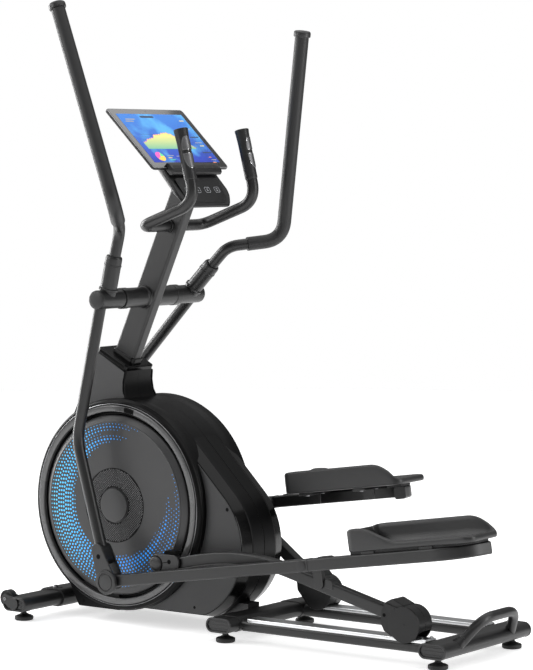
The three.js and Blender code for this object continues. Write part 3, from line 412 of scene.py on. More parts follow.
def new_material(name, **values):
    """A material with its shader's own values, its node tree and its object coordinates."""
    material = bpy.data.materials.new(name)
    material.use_nodes = True
    tree = material.node_tree
    shader = set_values(tree.nodes["Principled BSDF"], **values)
    return material, tree, shader, add_node(tree, "TexCoord").outputs["Object"]


WEAR = 0.08                      # how far roughness varies from its own value


def finish(name, color, roughness, *, metal=0.0, mottle=0.06, grain=900.0, bump=0.12,
           grain_depth=0.00012, coat=0.0, specular=0.5, stretch=None):
    """A moulded, painted or metal surface: faint mottling, a fine grain that catches
    the light, and roughness that varies a little from place to place."""
    material, tree, shader, place = new_material(
        name, Metallic=metal, Coat_Weight=coat, Coat_Roughness=0.12, Specular_IOR_Level=specular)
    if stretch:
        place = add_node(tree, "Mapping", place, "Vector", Scale=stretch).outputs["Vector"]
    cloud = add_node(tree, "TexNoise", place, "Vector", Scale=14.0, Detail=5.0).outputs["Fac"]
    tint = add_ramp(tree, cloud, [c * (1 - mottle) for c in color],
                    [min(1, c * (1 + mottle)) for c in color], 0.3, 0.7)
    tree.links.new(tint, shader.inputs["Base Color"])
    spread = add_node(tree, "MapRange", cloud, "Value", From_Min=0.3, From_Max=0.7,
                      To_Min=roughness * (1 - WEAR), To_Max=roughness * (1 + WEAR))
    tree.links.new(spread.outputs["Result"], shader.inputs["Roughness"])
    speck = add_node(tree, "TexNoise", place, "Vector", Scale=grain, Detail=3.0).outputs["Fac"]
    relief = add_node(tree, "Bump", speck, "Height", Strength=bump, Distance=grain_depth)
    tree.links.new(relief.outputs["Normal"], shader.inputs["Normal"])
    return material


def brushed(name, color, roughness, stretch):
    """A metal drawn or turned in one direction, with fine streaks along it."""
    return finish(name, color, roughness, metal=1.0, mottle=0.05, bump=0.25, stretch=stretch)


def glowing(name, low_color, high_color, axis, low, high, strength, cloud=None):
    """A lit surface whose colour runs between two colours along one axis, in metres."""
    material, tree, shader, place = new_material(name, Emission_Strength=strength, Roughness=0.35)
    split = add_node(tree, "SeparateXYZ", place, "Vector").outputs[axis]
    span = add_node(tree, "MapRange", split, "Value", From_Min=low, From_Max=high)
    color = add_ramp(tree, span.outputs["Result"], low_color, high_color)
    if cloud:
        puff = add_node(tree, "TexNoise", place, "Vector", Scale=13.0, Detail=6.0)
        cover = add_node(tree, "MapRange", puff.outputs["Fac"], "Value", From_Min=0.48,
                         From_Max=0.68)
        over = add_node(tree, "Mix")
        over.data_type = "RGBA"
        over.inputs["B"].default_value = [*cloud, 1]
        tree.links.new(cover.outputs["Result"], over.inputs["Factor"])
        tree.links.new(color, over.inputs["A"])
        color = over.outputs["Result"]
    for socket in ("Base Color", "Emission Color"):
        tree.links.new(color, shader.inputs[socket])
    return material


BLACK_COAT = finish("black powder coat", (0.009, 0.009, 0.0093), 0.36, grain=1400, bump=0.14)
POST_COAT = finish("grey powder coat", (0.02, 0.02, 0.0204), 0.42, grain=1400, bump=0.2)
COVER = finish("cover moulding", (0.002, 0.002, 0.0022), 0.36, grain=1800, bump=0.2,
               specular=0.13)
PANEL = finish("panel moulding", (0.03, 0.03, 0.031), 0.46, grain=2200, bump=0.4, mottle=0.08)
GLOSS = finish("gloss moulding", (0.002, 0.002, 0.0021), 0.16, grain=300, bump=0.03, specular=0.2)
TRIM = finish("satin trim", (0.07, 0.07, 0.071), 0.28, grain=900, bump=0.06, coat=0.5)
CHROME_TRIM = finish("bright trim line", (0.4, 0.4, 0.41), 0.3, metal=0.8, bump=0.05)
PLASTIC = finish("black moulding", (0.009, 0.009, 0.0095), 0.44, grain=1800, bump=0.3)
COVER_SMALL = finish("roller cover moulding", (0.008, 0.008, 0.0083), 0.38, bump=0.25,
                     grain=1800, specular=0.35)
GREY_PLASTIC = finish("grey moulding", (0.018, 0.018, 0.0185), 0.38, grain=1800, bump=0.3)
DISC = finish("disc moulding", (0.036, 0.036, 0.037), 0.38, grain=2400, bump=0.3)
HUB = finish("hub ring points", (0.085, 0.085, 0.087), 0.4, grain=2400, bump=0.3)
FOAM = finish("grip foam", (0.01, 0.01, 0.0105), 0.5, grain=700, bump=0.6, grain_depth=0.0003)
RUBBER = finish("rubber", (0.008, 0.008, 0.008), 0.6, grain=900, bump=0.3)
TREAD = finish("tread rubber", (0.008, 0.008, 0.0085), 0.6, grain=600, bump=0.5)
URETHANE = finish("urethane", (0.03, 0.03, 0.034), 0.5, grain=700, bump=0.2)
# Near-black with little shine: painted shade on the floors of holes and recesses and round the
# bearing cover's dome, and the colour of a few small dark parts.
BLACK_AND_PAINTED_SHADE = finish("black and painted recess shade", (0.002, 0.002, 0.002), 0.8, specular=0.1)
ALUMINIUM = brushed("drawn aluminium", (0.78, 0.79, 0.8), 0.3, (0.6, 30, 30))
STEEL = brushed("turned steel", (0.3, 0.3, 0.31), 0.34, (12, 0.6, 12))
CHROME = finish("chrome edge", (0.6, 0.6, 0.61), 0.2, metal=1.0, mottle=0.02, bump=0.02)
SENSOR = brushed("sensor steel", (0.2, 0.2, 0.205), 0.42, (8, 8, 1))
IRON = brushed("flywheel iron", (0.2, 0.2, 0.21), 0.4, (12, 1, 12))
BEZEL = brushed("bezel aluminium", (0.3, 0.3, 0.305), 0.36, (3, 18, 3))
GLASS = finish("black glass", (0.004, 0.004, 0.005), 0.05, grain=40, bump=0.01, coat=1.0,
               specular=1.0)
SKY = glowing("screen sky", (0.004, 0.025, 0.42), (0.03, 0.2, 0.66), "Z", 1.24, 1.36, 0.32,
              cloud=(0.09, 0.42, 0.8))
CHART = glowing("screen chart", (0.08, 0.42, 0.3), (0.8, 0.72, 0.22), "Z", 1.272, 1.318, 0.42)
PINK = glowing("screen pink", (0.9, 0.1, 0.45), (0.95, 0.3, 0.15), "Y", -0.1, 0.1, 0.5)
YELLOW = glowing("screen yellow", (0.9, 0.5, 0.06), (0.9, 0.75, 0.15), "Y", -0.15, 0.1, 0.5)
GREEN = glowing("screen green", (0.08, 0.6, 0.2), (0.15, 0.7, 0.4), "Y", -0.15, 0.1, 0.5)
PILL = glowing("screen pill", (0.01, 0.02, 0.06), (0.03, 0.06, 0.14), "Y", -0.15, 0.15, 0.3)
MARK = glowing("key marking", (0.35, 0.36, 0.38), (0.45, 0.46, 0.48), "Y", -0.1, 0.1, 0.25)
DOT = glowing("light dots", (0.012, 0.24, 0.72), (0.08, 0.5, 0.84), "X", -0.4, -0.6, 0.5)

for node, material in (
    ("main_frame", BLACK_COAT), ("crank_pulley", PLASTIC), ("drive_belt", RUBBER),
    ("flywheel", IRON), ("flywheel_shaft", STEEL), ("magnet_bracket", STEEL),
    ("crank_axle", STEEL),
):
    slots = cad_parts[node].data.materials
    slots.clear()
    slots.append(material)


# ------------------------------------------------------------------ small fittings
def screw_head(part, place, axis, radius=5, height=2.2, paint=1):
    """A button-head screw with a hexagon socket."""
    profile = [
        (0, -1), (radius, -1), (radius, 0.4), (0.82 * radius, height), (0.5 * radius, height),
        (0.5 * radius, height - 1.8), (0, height - 1.8),
    ]
    part.add(turned(profile, place, axis, 36, hexagon=(4, 5)), paint)


def screw_hole(part, place, radius):
    """A counterbored hole on an outer face: a fine raised edge round a floor painted near-black,
    which is painted shade in the hole.
    """
    rim = [(radius, -2), (radius + 1.1, -2), (radius + 1.1, 0.15), (radius, 0.15), (radius, -2)]
    part.add(turned(rim, place, sides=32), 0)
    # The hole's floor takes the near-black paint: painted shade.
    floor = [(0, -3), (radius, -3), (radius, 0.1), (0, 0.1)]
    part.add(turned(floor, place, sides=32), 1)


WELD_BEAD = 2.2                  # radius of the bead


def weld_bead(part, centre, axis, radius):
    """A bead of weld round a joint, with the small waves that a torch leaves."""
    along = Vector(axis).normalized()
    across = along.orthogonal().normalized()
    lift = along.cross(across)
    path = []
    for i in range(73):
        angle = 2 * math.pi * i / 72
        reach = radius + 0.35 * math.sin(18 * angle)
        path.append(Vector(centre) + reach * (math.cos(angle) * across + math.sin(angle) * lift))
    part.add(tube(path, WELD_BEAD, 8, 3))


# ------------------------------------------------------------------ stabilisers and feet
TUBE_Z = 47
OVAL_WIDTH, OVAL_HEIGHT, OVAL_CORNER = 80, 38, 18.9
FRONT_X, MIDDLE_X, REAR_X = -236, 414, 1065
STABILISERS = (
    ("front_stabilizer", FRONT_X, 232), ("middle_stabilizer", MIDDLE_X, 207),
    ("rear_stabilizer", REAR_X, 202),
)
CAP_DEPTH = 8                    # how far an end cap's recess goes in


def flat_oval(x, grow=0.0):
    """The outline of a stabiliser tube at its place, made larger by grow all round."""
    outline = rectangle(OVAL_WIDTH + 2 * grow, OVAL_HEIGHT + 2 * grow, OVAL_CORNER + grow, 8)
    return shifted(outline, x, TUBE_Z)


def oval_loops(x, side, levels):
    """Loops round a tube, one for each (grow, Y)."""
    return [[(px, side * y, pz) for px, pz in flat_oval(x, grow)] for grow, y in levels]


def ribbed_cap(part, x, end, side):
    """A push-in tube end: a raised rim, a recessed floor painted near-black as painted shade, and
    ribs across its middle.
    """
    rim = ((0.7, end - 0.5), (0.7, end + 2.6), (-0.7, end + 4), (-3.6, end + 4), (-4.8, end + 2.8),
           (-5.4, end - 6), (-5.4, end - 7))
    part.add(skin(oval_loops(x, side, rim)), 1)
    # The recess floor is near-black: painted shade.
    part.add(skin(oval_loops(x, side, ((-5.2, end - 6.5), (-5.2, end - 5.6)))), 2)
    for lift, width in ((0, 68), (-9, 52), (9, 52)):
        bar = rectangle(width, 3.4 if lift == 0 else 1.8, 0.8, 3)
        part.add(slab(shifted(bar, x, TUBE_Z + lift), side * (end - 6), side * (end + 0.6)), 1, 0.4)


def stabiliser(name, x, half):
    part = Part()
    capped = name != "front_stabilizer"
    solid = half - CAP_DEPTH if capped else half
    part.add(slab(flat_oval(x), -solid, solid), 0)
    if capped:
        wall = ((0, solid), (0, half), (-5.3, half), (-5.3, solid), (0, solid))
        for side in (-1, 1):
            part.add(skin(oval_loops(x, side, wall), capped=False), 0)
            ribbed_cap(part, x, half, side)
    if name == "middle_stabilizer":
        for side in (-1, 1):
            part.add(slab(flat_oval(x, 1.6), side * 112, side * 168), 0, 1)
    show_whole(name, part, [BLACK_COAT, GREY_PLASTIC, BLACK_AND_PAINTED_SHADE])


for tube_name, tube_x, tube_half in STABILISERS:
    stabiliser(tube_name, tube_x, tube_half)

# The sleeve of the main frame over the front tube, with its bolts.
saddle = Part()
for side in (-1, 1):
    saddle.add(slab(flat_oval(FRONT_X, 5.4), side * 28, side * 110.5), 0, 1.2)
    ear = shifted(rectangle(36, 26, 8), FRONT_X, side * 92)
    saddle.add(plate(ear, TUBE_Z + 20, TUBE_Z + 26), 0, 1.2)
    screw_head(saddle, (FRONT_X, side * 92, TUBE_Z + 25.8), (0, 0, 1), 8, 5)
show_whole("frame_saddle", saddle, [BLACK_COAT, STEEL], extra=True)

FEET = (("front", FRONT_X, 225), ("middle", MIDDLE_X, 178), ("rear", REAR_X, 176))
FOOT_PROFILE = (
    (0, 0), (21, 0), (23.4, 0.6), (25, 2.2), (25.5, 4.5), (25.5, 9.5), (24.6, 11.3), (22.6, 12.4),
    (15, 15.2), (11.5, 16.4), (10.6, 17.6), (9, 17.6), (8.2, 18.6), (8.2, 20.6), (6, 21),
    (6, 22), (5.4, 22.5), (6, 23), (5.4, 23.5), (6, 24), (5.4, 24.5), (6, 25), (6, 28), (0, 28),
)
for side in SIDES:
    for spot, foot_x, foot_y in FEET:
        foot = Part().add(turned(FOOT_PROFILE, (foot_x, foot_y, 0), (0, 0, 1), 56))
        name = f"levelling_foot_{spot}"
        show_on(side, name, foot, "fixed", [RUBBER], name + "_{}")

TRANSPORT = (-268, 60)


def transport_pieces(side):
    """The moulded end of the front tube with its ear, and the wheel that turns in it."""
    cap = Part()
    levels = ((0, 232.3), (0.8, 233), (0.8, 237), (0.8, 262), (0.2, 265.5), (-1.4, 267), (-4, 267),
              (-5.4, 265.4), (-6.4, 262), (-7, 261.6))
    cap.add(skin(oval_loops(FRONT_X, 1, levels)))
    for lift in (-4.5, 4.5):
        bar = rectangle(46, 2.6, 1.2, 3)
        cap.add(slab(shifted(bar, FRONT_X, TUBE_Z + lift), 261, 263.4))
    ear = stadium(TRANSPORT, 13, (-240, 49), 17)
    cap.add(slab(ear, 260.5, 266.6), 0, 1.4)
    cap.add(slab(ear, 232.3, 237), 0, 1.2)
    screw_head(cap, at(TRANSPORT, 266.6), (0, 1, 0), 4.6, 2)
    show_on(side, "front_end_cap", cap, "fixed", [PLASTIC, STEEL])
    profile = [
        (4.3, 239.5), (9, 239.5), (9, 241), (18.5, 241.6), (19.5, 239.4), (21.6, 239), (23, 240.4),
        (23, 246), (22, 247), (22, 252), (23, 253), (23, 259.4), (21.6, 260.6), (19.5, 260.2),
        (18.5, 258), (9, 258.6), (9, 260.4), (4.3, 260.4), (4.3, 239.5),
    ]
    wheel = Part().add(turned(profile, at(TRANSPORT), sides=56))
    show_on(side, "transport_wheel", wheel, "fixed", [RUBBER], "transport_wheel_{}")


# ------------------------------------------------------------------ rails and carry handle
RAIL_START, RAIL_END, RAIL_Y, RAIL_Z = 454.4, 1024.6, 140, 45


def rail_stretch(start, end, section):
    ends = [Vector((x, RAIL_Y, RAIL_Z)) for x in (start, end)]
    return sweep(ends, section, (0, 0, 1))


def rail_pieces(side):
    rail = Part()
    rail.add(rail_stretch(RAIL_START, RAIL_END, rectangle(50, 32, 14, 10)))
    for x in (RAIL_START, RAIL_END - 3):
        rail.add(rail_stretch(x, x + 3, rectangle(50.8, 32.8, 14.4, 10)), 0, 0.8)
    show_on(side, "rail_tube", rail, "fixed", [BLACK_COAT])

    strip = Part()
    start, end = RAIL_START + 20, RAIL_END - 4
    crown = [(115.4, 55.6), (115.4, 62), (116.6, 64), (119, 64.5), (161, 64.5), (163.4, 64),
             (164.6, 62), (164.6, 55.6), (163, 55.6), (162.6, 60.4), (159.6, 61.4), (120.4, 61.4),
             (117.4, 60.4), (117, 55.6)]
    strip.add(skin([[(x, y, z) for y, z in crown] for x in (start, end)]), 0, 0.5)
    lip = [(end - 16, 61.3, 1), (end - 16, 65.4, 1), (end - 3, 65.4, 2), (end + 2, 62.5, 1),
           (end + 2, 61.3, 0.5)]
    strip.add(slab(rounded(lip, 4), 119, 161), 0, 0.4)
    hook = bend((end - 4, 134, 64), [((end - 4, 134, 71), 3), ((end + 3, 134, 71), 3)],
                (end + 3, 134, 67), 5)
    strip.add(tube(hook, 1.5, 12))
    screw_head(strip, (end - 26, RAIL_Y, 64.4), (0, 0, 1), 4, 1.2, 0)
    show_on(side, "rail_strip", strip, "fixed", [ALUMINIUM])


HANDLE_FOOT, HANDLE_BEND = (1091, 124), (1134, 78, 119)
handle = Part()
feet = [(HANDLE_FOOT[0], side * HANDLE_FOOT[1], 52) for side in (-1, 1)]
bends = [((HANDLE_BEND[0], side * HANDLE_BEND[1], HANDLE_BEND[2]), 76) for side in (-1, 1)]
handle.add(tube(bend(feet[0], bends, feet[1], 20), 13, 32))
for side in (-1, 1):
    foot = Vector((HANDLE_FOOT[0], side * HANDLE_FOOT[1], 58))
    climb = (Vector((HANDLE_BEND[0], side * HANDLE_BEND[1], HANDLE_BEND[2])) - foot).normalized()
    flange = sweep([foot - climb * 3, foot + climb * 4, foot + climb * 16],
                   lambda share: [(a * (1.42 - 0.42 * share), b * (1.1 - 0.1 * share))
                                  for a, b in circle(13.2, 32)])
    handle.add(flange, 0, 0.8)
    screw_head(handle, foot + climb * 9 + Vector((10, 0, 8)), (1, 0, 1), 4.5, 3)
show_whole("rear_carry_handle", handle, [BLACK_COAT, STEEL])

# ------------------------------------------------------------------ post and cross tube
LEAN = math.radians(POST_LEAN_DEG)


def post_point(z):
    return Vector((PIVOT[0] + (z - PIVOT[1]) * math.tan(LEAN), 0, z))


post = Part()
post.add(sweep([post_point(640), post_point(1192)], rectangle(71, 36, 8, 6), (0, 1, 0)))
seat = sweep([post_point(1180), post_point(1196)], rectangle(84, 50, 12, 6), (0, 1, 0))
post.add(seat, 0, 2)
for side in (-1, 1):
    weld_bead(post, at(PIVOT, side * 18.3), (0, 1, 0), 29.5)
    screw_head(post, post_point(700) + Vector((0, side * 18, 0)), (0, side, 0), 6, 3)
show_whole("console_post", post, [POST_COAT, STEEL])

cross = Part()
half_profile = [
    (27, 0), (27, 17.8), (30.4, 17.9), (31, 18.6), (31, 25.6), (30.4, 26.4), (28, 29), (27, 32),
    (27, 98), (27.9, 98.4), (28.4, 99.4), (28.4, 121), (27.8, 122.4), (26.6, 123), (12, 123),
]
for side in (-1, 1):
    profile = [(0, 0), *half_profile, (12, 220.8), (0, 220.8)]
    cross.add(turned(profile, at(PIVOT), (0, side, 0), 64))
show_whole("arm_cross_tube", cross, [BLACK_COAT])

# ------------------------------------------------------------------ drive covers
AXLE = (0, CRANK_Z)
LOBE, LOBE_RADIUS, HULL_RADIUS = (205, 225), 205, 283
COVER_BOTTOM = 34
TOE_X = -136


def hull_outline(inset):
    """The side outline of the hull behind the drum, moved inwards by an inset. A straight
    slope at the rear touches the hull's circle and the lobe's circle."""
    across = Vector(LOBE) - Vector(AXLE)
    slope = math.atan2(across.y, across.x)
    slope = math.degrees(slope + math.acos((HULL_RADIUS - LOBE_RADIUS) / across.length))
    lobe = LOBE_RADIUS - inset
    flat = math.degrees(math.asin((COVER_BOTTOM + inset - LOBE[1]) / lobe))
    outline = arc(LOBE, lobe, flat, slope, 40)
    outline += arc(AXLE, HULL_RADIUS - inset, slope, 232, 64)
    outline.append((TOE_X + inset, COVER_BOTTOM + inset))
    return outline


def hull_loops(levels):
    """Loops round the hull, one for each (Y, inset)."""
    return [[(x, y, z) for x, z in hull_outline(inset)] for y, inset in levels]


DRUM_PROFILE = [
    (283.4, 0.4), (283.6, 52), (284.6, 62), (286.6, 74), (287, 84), (287, 103), (286.4, 105.4),
    (285, 106.6),
    (284.4, 108), (283.6, 111), (281.4, 114), (277.6, 115.8), (274.6, 116), (273.8, 115.4),
    (273.4, 113.2), (271.8, 113.2), (271.4, 115), (270.2, 115.2), (269.8, 112), (252.6, 112),
    (251.4, 111), (250, 109), (250, 99), (249, 98), (40, 98), (40, 95), (246, 95), (246, 108),
    (280, 98), (280, 0.4), (283.4, 0.4),
]
NECK_FRONT, NECK_REAR = (-113, 729), (-13, 677)
NECK_LOW = 470
NECK_FRONT_EDGE = ((470, -203), (529, -196), (729, -113))
NECK_REAR_EDGE = ((470, 30), (560, 14), (588, 4), (604, -8), (620, -14.5), (636, -17), (652, -17),
                  (664, -15), (677, -12))


def neck_half(z):
    """Half the neck's width at a height: it widens towards its foot."""
    return 56 + 0.11 * (NECK_FRONT[1] - z)


def neck_loops():
    """Loops round one side of the neck, from its foot to its sloping top."""
    steps, inset, corner = 16, 1.2, 7
    loops = []
    for k in range(steps + 1):
        share = k / steps
        front_z = NECK_LOW + (NECK_FRONT[1] - 0.3 - NECK_LOW) * share
        rear_z = NECK_LOW + (NECK_REAR[1] - 0.3 - NECK_LOW) * share
        front_x = interpolated(NECK_FRONT_EDGE, front_z) + inset
        rear_x = interpolated(NECK_REAR_EDGE, rear_z) - inset
        half = neck_half((front_z + rear_z) / 2) - 1.6
        middle, span = (front_x + rear_x) / 2, (rear_x - front_x) / 2
        loop = []
        for x, y in rectangle(2 * span, 2 * half, corner, 6):
            height = front_z + (rear_z - front_z) * (x + span) / (2 * span)
            loop.append((middle + x, max(0.3, y), height))
        loops.append(loop)
    return loops


def cover_pieces(side):
    cover = Part()
    cover.add(turned(DRUM_PROFILE, at(AXLE), sides=160))
    cover.add(skin(hull_loops(
        ((0.3, 1.4), (1.1, 0.3), (2, 0), (47, 0), (50, 0.5), (52.4, 1.6), (53.4, 3)))))
    cover.add(skin(neck_loops()), 0)
    toe = [(-171, 100, 6), (TOE_X, COVER_BOTTOM, 5), (6, COVER_BOTTOM, 1), (6, 104, 2)]
    cover.add(slab(rounded(toe), 60, 113), 0, 1.8, 3)
    screw_hole(cover, (-118, 113, 48), 4.6)
    show_on(side, "drive_cover", cover, "fixed", [COVER, BLACK_AND_PAINTED_SHADE])

    band = Part().add(skin(hull_loops(
        ((52.8, 1.4), (56, 1.9), (86, 8.4), (89, 9.4), (89.6, 10.6)))))
    show_on(side, "gloss_band", band, "fixed", [GLOSS], extra=True)

    panel = Part()
    panel.add(skin(hull_loops(((86, 11.6), (90.2, 11.6), (91.4, 12.4), (91.8, 13.8)))), 0)
    neck_face = rounded([(-203, 470, 0), (20, 470, 0), (14, 560, 20), (-1, 590, 12), (-17, 622, 20),
                         (-19, 648, 16), (-15, 674, 1), (-113, 725, 1), (-192, 531, 12)], 6)
    faces = [[(x, lift + neck_half(z), z) for x, z in neck_face] for lift in (-0.4, 0.8)]
    panel.add(skin(faces), 0, 0.6)
    screw_hole(panel, (355, 91.8, 331), 5)
    screw_hole(panel, (246, 91.8, 62), 4)
    show_on(side, "side_panel", panel, "fixed", [PANEL, BLACK_AND_PAINTED_SHADE], extra=True)

    trim = Part()
    profile = [(252.4, 111), (252.4, 117.6), (253.4, 119.6), (255.4, 120.8), (265.6, 121),
               (268.4, 120), (269.4, 117.4), (269.4, 111), (252.4, 111)]
    trim.add(turned(profile, at(AXLE), sides=160))
    hair = [(271.9, 113), (271.9, 116.4), (272.6, 117), (273.3, 116.4), (273.3, 113), (271.9, 113)]
    trim.add(turned(hair, at(AXLE), sides=160), 1)
    block = arc(AXLE, 267.6, 76, 83, 8) + arc(AXLE, 254.4, 83, 76, 8)
    trim.add(slab(block, 118, 121.6), 2, 0.3)
    show_on(side, "trim_ring", trim, "fixed", [TRIM, CHROME_TRIM, BLACK_AND_PAINTED_SHADE])


collar = Part()
slope = Vector((NECK_REAR[0] - NECK_FRONT[0], NECK_REAR[1] - NECK_FRONT[1]))
middle = (at(NECK_FRONT) + at(NECK_REAR)) / 2
tilt = Matrix.Translation(middle) @ turn_y(-math.degrees(math.atan2(slope.y, slope.x)))
for grow, low, high in ((0, 0, 11), (-5, 10, 12.5)):
    points, faces = plate(rectangle(slope.length + 4 + 2 * grow, 116 + 2 * grow, 12), low, high)
    collar.add(([tilt @ p for p in points], faces), 0, 1.6, 3)
boot = sweep([post_point(688), post_point(722)], lambda share: [
    (a * (1.16 - 0.1 * share), b * (1.3 - 0.2 * share)) for a, b in rectangle(74, 39, 9, 6)],
    (0, 1, 0))
collar.add(boot, 0, 1)
show_whole("neck_collar", collar, [GLOSS])


# ------------------------------------------------------------------ crank discs
# Where the light dots lie. Each band lists (degrees, inner radius, outer radius, dot size).
DOT_BANDS = (
    ((66, 216, 222, 0.3), (90, 205, 222, 0.55), (122, 188, 222, 0.8), (150, 150, 222, 0.95),
     (180, 137, 222, 1), (215, 131, 222, 1), (244, 132, 222, 0.95), (258, 150, 222, 0.75),
     (268, 196, 222, 0.6), (284, 216, 222, 0.4)),
    ((76, 184, 189, 0.4), (90, 175, 189, 0.8), (112, 164, 189, 0.95), (134, 150, 192, 1)),
    ((-104, 140, 200, 0.75), (-84, 136, 198, 1), (-60, 146, 190, 1), (-36, 157, 180, 1),
     (-14, 170, 187, 0.95), (0, 179, 190, 0.7), (12, 184, 189, 0.4)),
    ((-66, 200, 222, 0.4), (-48, 188, 222, 0.65), (-22, 198, 222, 0.75), (0, 209, 222, 0.55),
     (28, 216, 222, 0.3)),
    ((-58, 150, 212, 0.35), (-36, 146, 208, 0.32), (-14, 160, 214, 0.28), (2, 180, 214, 0.2)),
)
DOT_PITCH, DOT_ROW, DOT_ROWS, DOT_RIM = 11, 8.2, 11, 220
SMALLEST_DOT = 0.12


def dot_size(degrees, radius):
    """How large the dot is at a place on the disc: 0 for none, 1 for the largest."""
    size = 0
    for band in DOT_BANDS:
        for turn in (0, 360):
            angle = degrees - turn
            if not band[0][0] <= angle <= band[-1][0]:
                continue
            inner, outer, full = (
                interpolated([(row[0], row[k]) for row in band], angle) for k in (1, 2, 3))
            if inner - 3 <= radius <= outer + 3:
                depth = min(radius - inner, outer - radius) + 3
                middle = 1 - abs((radius - inner) / (outer - inner) - 0.36)
                size = max(size, full * (0.35 + 0.65 * smooth_step(0, 13, depth)) * middle ** 0.4)
    return size


def light_dots():
    """Staggered rows of small light dots, as one solid set."""
    points, faces = [], []
    for row in range(DOT_ROWS):
        radius = DOT_RIM - DOT_ROW * row
        count = round(2 * math.pi * radius / DOT_PITCH)
        for i in range(count):
            degrees = 360 * (i + 0.5 * (row % 2)) / count
            size = dot_size(degrees, radius)
            if size < SMALLEST_DOT:
                continue
            reach = 0.9 + 2.7 * size
            angle = math.radians(degrees)
            x, z = radius * math.cos(angle), CRANK_Z + radius * math.sin(angle)
            start = len(points)
            low = [(x + a, 124.6, z + b) for a, b in circle(reach, 10)]
            top = [(x + a, 125.3, z + b) for a, b in circle(reach * 0.8, 10)]
            more, sides = skin((low, top))
            points += more
            faces += [tuple(start + i for i in face) for face in sides]
    return points, faces


def knurling(inner, outer, pitch, y, height):
    """Crossed rows of small four-sided points between two radii."""
    points, faces = [], []
    half = pitch / 2
    count = int(outer / half) + 1
    for i in range(-count, count + 1):
        for j in range(-count, count + 1):
            if (i + j) % 2:
                continue
            x, z = i * half, j * half
            if not inner + half < math.hypot(x, z) < outer - half:
                continue
            start = len(points)
            for dx, dz in ((half, 0), (0, half), (-half, 0), (0, -half)):
                points.append(Vector((x + dx * 0.84, y, CRANK_Z + z + dz * 0.84)))
            points.append(Vector((x, y + height, CRANK_Z + z)))
            faces += [(start, start + 1, start + 4), (start + 1, start + 2, start + 4),
                      (start + 2, start + 3, start + 4), (start + 3, start, start + 4),
                      (start + 3, start + 2, start + 1, start)]
    return points, faces


DISC_PROFILE = [
    (0, 129.2), (43, 129.2), (45, 128.6), (45.6, 127), (45.6, 123.8), (47.4, 123.6), (48.4, 124.4),
    (101, 124.4), (102.4, 125), (223.4, 125), (224, 125.5), (225.4, 125.6), (226.4, 125),
    (227, 123.6), (231, 121.6), (238, 118), (241.6, 115.6), (243, 113), (243, 108), (60, 104),
    (34, 104), (34, 86), (13.5, 86), (13.5, 113), (0, 113),
]


def disc_pieces(side):
    disc = Part()
    disc.add(turned(DISC_PROFILE, at(AXLE), sides=144))
    disc.add(knurling(48, 101, 6.6, 124.3, 1.3), 2)
    # The ring under the points is near-black: painted shade in the hollows between them.
    disc.add(turned([(48.4, 124), (48.4, 124.5), (101, 124.5), (101, 124), (48.4, 124)],
                    at(AXLE), sides=96), 1)
    pin = PIN_EYE if side == "left" else (-PIN_EYE[0], 2 * CRANK_Z - PIN_EYE[1])
    boss = [(0, 112), (15, 112), (15, 129.6), (13.6, 131), (0, 131)]
    disc.add(turned(boss, at(pin), sides=40))
    show_on(side, "crank_disc", disc, "fixed", [DISC, COVER, HUB], "crank")
    lights = Part().add(light_dots())
    show_on(side, "disc_lights", lights, "fixed", [DOT], "crank", extra=True)


# ------------------------------------------------------------------ fixed handlebar
BAR_TOP, BAR_ELBOW, BAR_TURN = (236, 1328), (284, 1138), (104, 1072)
BAR_Y = 134
fixed_bar = Part()
bar_bends = [
    (at(BAR_ELBOW, -BAR_Y), 60), (at(BAR_TURN, -BAR_Y), 36),
    (at(BAR_TURN, BAR_Y), 36), (at(BAR_ELBOW, BAR_Y), 60),
]
bar_path = bend(at(BAR_TOP, -BAR_Y), bar_bends, at(BAR_TOP, BAR_Y), 24)
fixed_bar.add(tube(bar_path, TUBE_R, 32))
clamp_at = post_point(BAR_TURN[1])
for side in (-1, 1):
    clamp = [clamp_at + Vector((0, side * y, 0)) for y in (18, 26)]
    fixed_bar.add(sweep(clamp, circle(18.5, 40)), 0, 1.5)
show_whole("fixed_handlebar", fixed_bar, [BLACK_COAT])


GRIP_R = 17


def leaf(foot, heading, facing, start, end, reach, thickness, point_up):
    """Half of a leaf-shaped contact plate, curved round a bar. One end is pointed."""
    side = heading.cross(facing).normalized()
    rings = []
    steps = 14
    for k in range(steps + 1):
        share = k / steps
        tip = share if point_up else 1 - share
        half_angle = reach * math.sqrt(max(0.0004, 1 - tip ** 2.2))
        centre = foot + heading * (start + (end - start) * share)
        outer, inner = [], []
        for j in range(9):
            angle = half_angle * (j / 4 - 1)
            out = math.cos(angle) * facing + math.sin(angle) * side
            outer.append(centre + out * (GRIP_R + thickness))
            inner.append(centre + out * (GRIP_R - 1.5))
        rings.append(outer + inner[::-1])
    return skin(rings)


